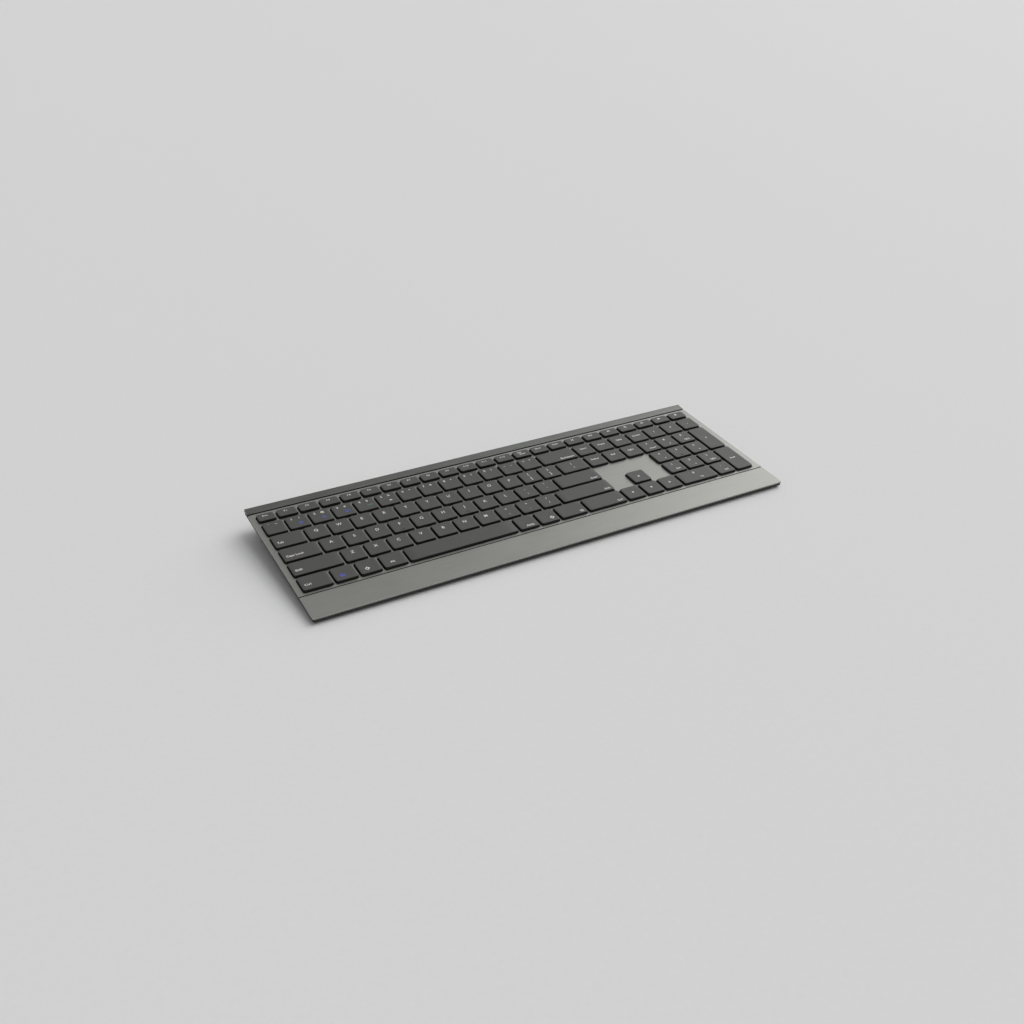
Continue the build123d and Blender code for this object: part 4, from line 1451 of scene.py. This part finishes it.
# ------------------------------------------------------------------ underside
@dataclass
class Underside(SubAssembly):
    """Details of the housing: ribs on the door and the slider, and the marks at the switch.

    Attributes:
        ribs: Number of grip ribs on the door.
        pitch: Distance between them, in millimetres.
        first: From the door's front edge to the first one.
        rib: Length, width and thickness of each. Half of the thickness is sunk.
        knob_ribs: Places of the slider's ribs about its middle.
        knob_rib: Width, length and thickness of each.
        rib_corner: Corner radius of a rib over its size.
        rib_edge: Width of its chamfer over its size.
        mark: Height of a capital at the switch.
        mark_gap: From an end of the switch to the middle of its mark.
        travel: How far the slider moves.
        ink: How far the ink's middle is sunk in the housing.
        tree: Tree that makes ribs.
    """

    ribs: int = 7
    pitch: float = 1.5
    first: float = 9.0
    rib: Triple = (14.0, 0.7, 0.7)
    knob_ribs: tuple[float, ...] = (-1.5, -0.5, 0.5, 1.5)
    knob_rib: Triple = (0.35, 2.0, 0.3)
    rib_corner: float = 0.2
    rib_edge: float = 0.15
    mark: float = 1.5
    mark_gap: float = 3.6
    travel: float = 3.0
    ink: float = 0.01
    tree: Any = field(default_factory=scatter_tree)

    def row(self, name: str, places: Sequence[Vector], size: Triple, body: str, slot: str) -> None:
        """Makes a row of ribs, with the finish of what carries them.

        Args:
            name: Name of the piece.
            places: Middles of the ribs.
            size: Size of each rib, in millimetres.
            body: Body that carries them, which is also its one CAD node.
            slot: Material slot of the record.
        """
        outline = Contour((-0.5, 0.5, -0.5, 0.5), (self.rib_corner,) * 2, self.rib_edge)
        rib = sheet("rib", [outline], -0.5, 0.5)
        sizes = [Vector(size) * MM] * len(places)
        mesh = scattered(self.tree, rib, places, sizes, {"Finish": KEPT[body].material()})
        self.piece(name, mesh, (), body, slot)

    def build(self) -> None:
        """Makes the ribs of the door and of the slider, and prints OFF and ON beside it."""
        door = self.deck.box("battery_door")
        rows = [door.low.y + (self.first + i * self.pitch) * MM for i in range(self.ribs)]
        places = [Vector((0, y, door.low.z)) for y in rows]
        self.row("door_grip_ribs", places, self.rib, "battery_door", "case_plastic")
        knob = self.deck.box("power_slider")
        places = [Vector((knob.middle.x + x * MM, knob.middle.y, knob.low.z)) for x in self.knob_ribs]
        self.row("slider_ribs", places, self.knob_rib, "power_slider", "slider_plastic")
        level = self.deck.box("rear_housing").low.z + self.ink * MM
        turned = Matrix.Rotation(math.pi, 4, "X") @ Matrix.Scale(MM, 4)
        off = knob.low.x - self.mark_gap * MM
        on = knob.high.x + (self.mark_gap + self.travel) * MM
        made = []
        for text, x in (("OFF", off), ("ON", on)):
            made.append(Legends(self.deck).text_mesh(Mark(text, Spot.MIDDLE, self.mark)))
            made[-1].transform(Matrix.Translation((x, knob.middle.y, level)) @ turned)
        self.piece("switch_marks", joined("switch_marks", made), (WHITE_INK,), "chassis", "case_plastic")


def dress_kept() -> None:
    """Gives every CAD node that stays its finish."""
    for node, finish in KEPT.items():
        mesh = frame["nodes"][node].data
        mesh.materials.clear()
        mesh.materials.append(finish.material())
        log.info("%s: %s", node, finish.name)


# ------------------------------------------------------------------ studio
@dataclass
class Studio:
    """Floor, soft light and camera.

    Attributes:
        eye: Place of the camera, in metres.
        right: Direction of the view's right side.
        up: Direction of its upper side.
        back: Direction from what it looks at back to the camera.
        lens: Focal length in millimetres.
        sensor: Width of the sensor in millimetres.
        shift: Shift of the view, as shares of its width.
        ambient: Strength of the light from all round, at the left and at the right.
        around: Colour of that light.
        behind: Colour that the camera and the reflections see behind the floor.
        reach: Half the width of the floor, in metres.
    """

    eye: Triple = (-0.408394, -0.688114, 0.446824)
    right: Triple = (0.86925, -0.49430, 0.00849)
    up: Triple = (0.23689, 0.43154, 0.87044)
    back: Triple = (-0.43392, -0.75462, 0.49221)
    lens: float = 38.694
    sensor: float = 36.0
    shift: Point = (0.0011, 0.0014)
    ambient: Point = (0.18, 0.66)
    around: str = "#f6f6f6"
    behind: str = "#dadada"
    reach: float = 20.0

    def camera(self) -> None:
        """Sets up the camera."""
        data = bpy.data.cameras.new("camera")
        data.sensor_width, data.lens = self.sensor, self.lens
        data.shift_x, data.shift_y = self.shift
        made = placed("camera", data)
        axes = Matrix((self.right, self.up, self.back)).transposed()
        made.matrix_world = Matrix.Translation(self.eye) @ axes.to_4x4()
        bpy.context.scene.camera = made

    def lamp(self, name: str, towards: Triple, spread: float, strength: float) -> None:
        """Adds a wide, soft, distant lamp.

        Args:
            name: Name of the lamp.
            towards: Direction from the keyboard to the lamp.
            spread: Its angular size in degrees.
            strength: Light that it gives, in watts per square metre.
        """
        data = bpy.data.lights.new(name, "SUN")
        data.angle = math.radians(spread)
        data.energy = strength
        made = placed(name, data)
        made.location = towards
        made.rotation_euler = (-made.location).to_track_quat("-Z", "Y").to_euler()

    def world(self) -> None:
        """Lights the scene softly, and shows pale paper to the camera and in reflections."""
        world = bpy.data.worlds.new("world")
        world.use_nodes = True
        tree = world.node_tree
        tree.nodes.clear()
        path = add(tree, "ShaderNodeLightPath")
        around = add(tree, "ShaderNodeTexCoord").outputs["Generated"]
        sideways = add(tree, "ShaderNodeSeparateXYZ", {0: around}).outputs["X"]
        ends = {"Value": sideways, "From Min": -1.0, "To Min": self.ambient[0], "To Max": self.ambient[1]}
        rise = add(tree, "ShaderNodeMapRange", ends)
        soft = add(tree, "ShaderNodeBackground", {"Color": linear(self.around), "Strength": rise})
        seen = add(tree, "ShaderNodeBackground", {"Color": linear(self.behind), "Strength": 1.0})
        direct = path.outputs["Is Camera Ray"]
        for kind in ("Is Glossy Ray", "Is Transmission Ray"):
            direct = add(tree, "ShaderNodeMath", {"operation": "MAXIMUM", 0: direct, 1: path.outputs[kind]})
        mixed = add(tree, "ShaderNodeMixShader", {0: direct, 1: soft, 2: seen})
        add(tree, "ShaderNodeOutputWorld", {"Surface": mixed})
        bpy.context.scene.world = world

    def floor(self) -> None:
        """Lays the pale floor."""
        mesh = bpy.data.meshes.new("floor")
        corners = slab(-self.reach, self.reach, -self.reach, self.reach)
        mesh.from_pydata([(x, y, 0) for x, y in corners], [], [(0, 1, 2, 3)])
        mesh.materials.append(PAPER.material())
        placed("floor", mesh)

    def build(self) -> None:
        """Sets up the whole studio."""
        self.floor()
        self.world()
        self.camera()
        self.lamp("main_lamp", (1.3, 0.1, 1.9), spread=50.0, strength=1.0)
        self.lamp("side_lamp", (0.85, 0.35, 0.4), spread=50.0, strength=1.0)
        bpy.context.scene.view_settings.view_transform = "Standard"


# ------------------------------------------------------------------ assembly
def main() -> None:
    """Builds the keyboard's sub-assemblies in order and reports each piece."""
    logging.basicConfig(level=logging.INFO, format="%(message)s")
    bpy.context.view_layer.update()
    Studio().build()
    dress_kept()
    deck = Deck.found()
    nodes = [joint["child"] for joint in frame["joints"] if joint["name"].endswith("_press")]
    keys = {node: deck.solids(node) for node in nodes}
    metal, caps, legends, mechanism = MetalDeck(deck), KeyCaps(deck), Legends(deck), Mechanism(deck)
    metal.build([key for row in keys.values() for key in row])
    for node, row in keys.items():
        caps.build(node, row)
        legends.build(node, row, caps)
        mechanism.build(node, row)
    bars, underside = HomingBars(deck), Underside(deck)
    # F and J are the fourth and the seventh key of their row.
    bars.build("letter_keys_home", [keys["letter_keys_home"][i] for i in (3, 6)])
    bars.build("key_numpad_5", keys["key_numpad_5"])
    underside.build()
    for part in (metal, caps, legends, mechanism, bars, underside):
        for made in part.pieces:
            log.info("%s: %s, %d faces", type(part).__name__, made.name, len(made.data.polygons))


if __name__ == "__main__":
    main()
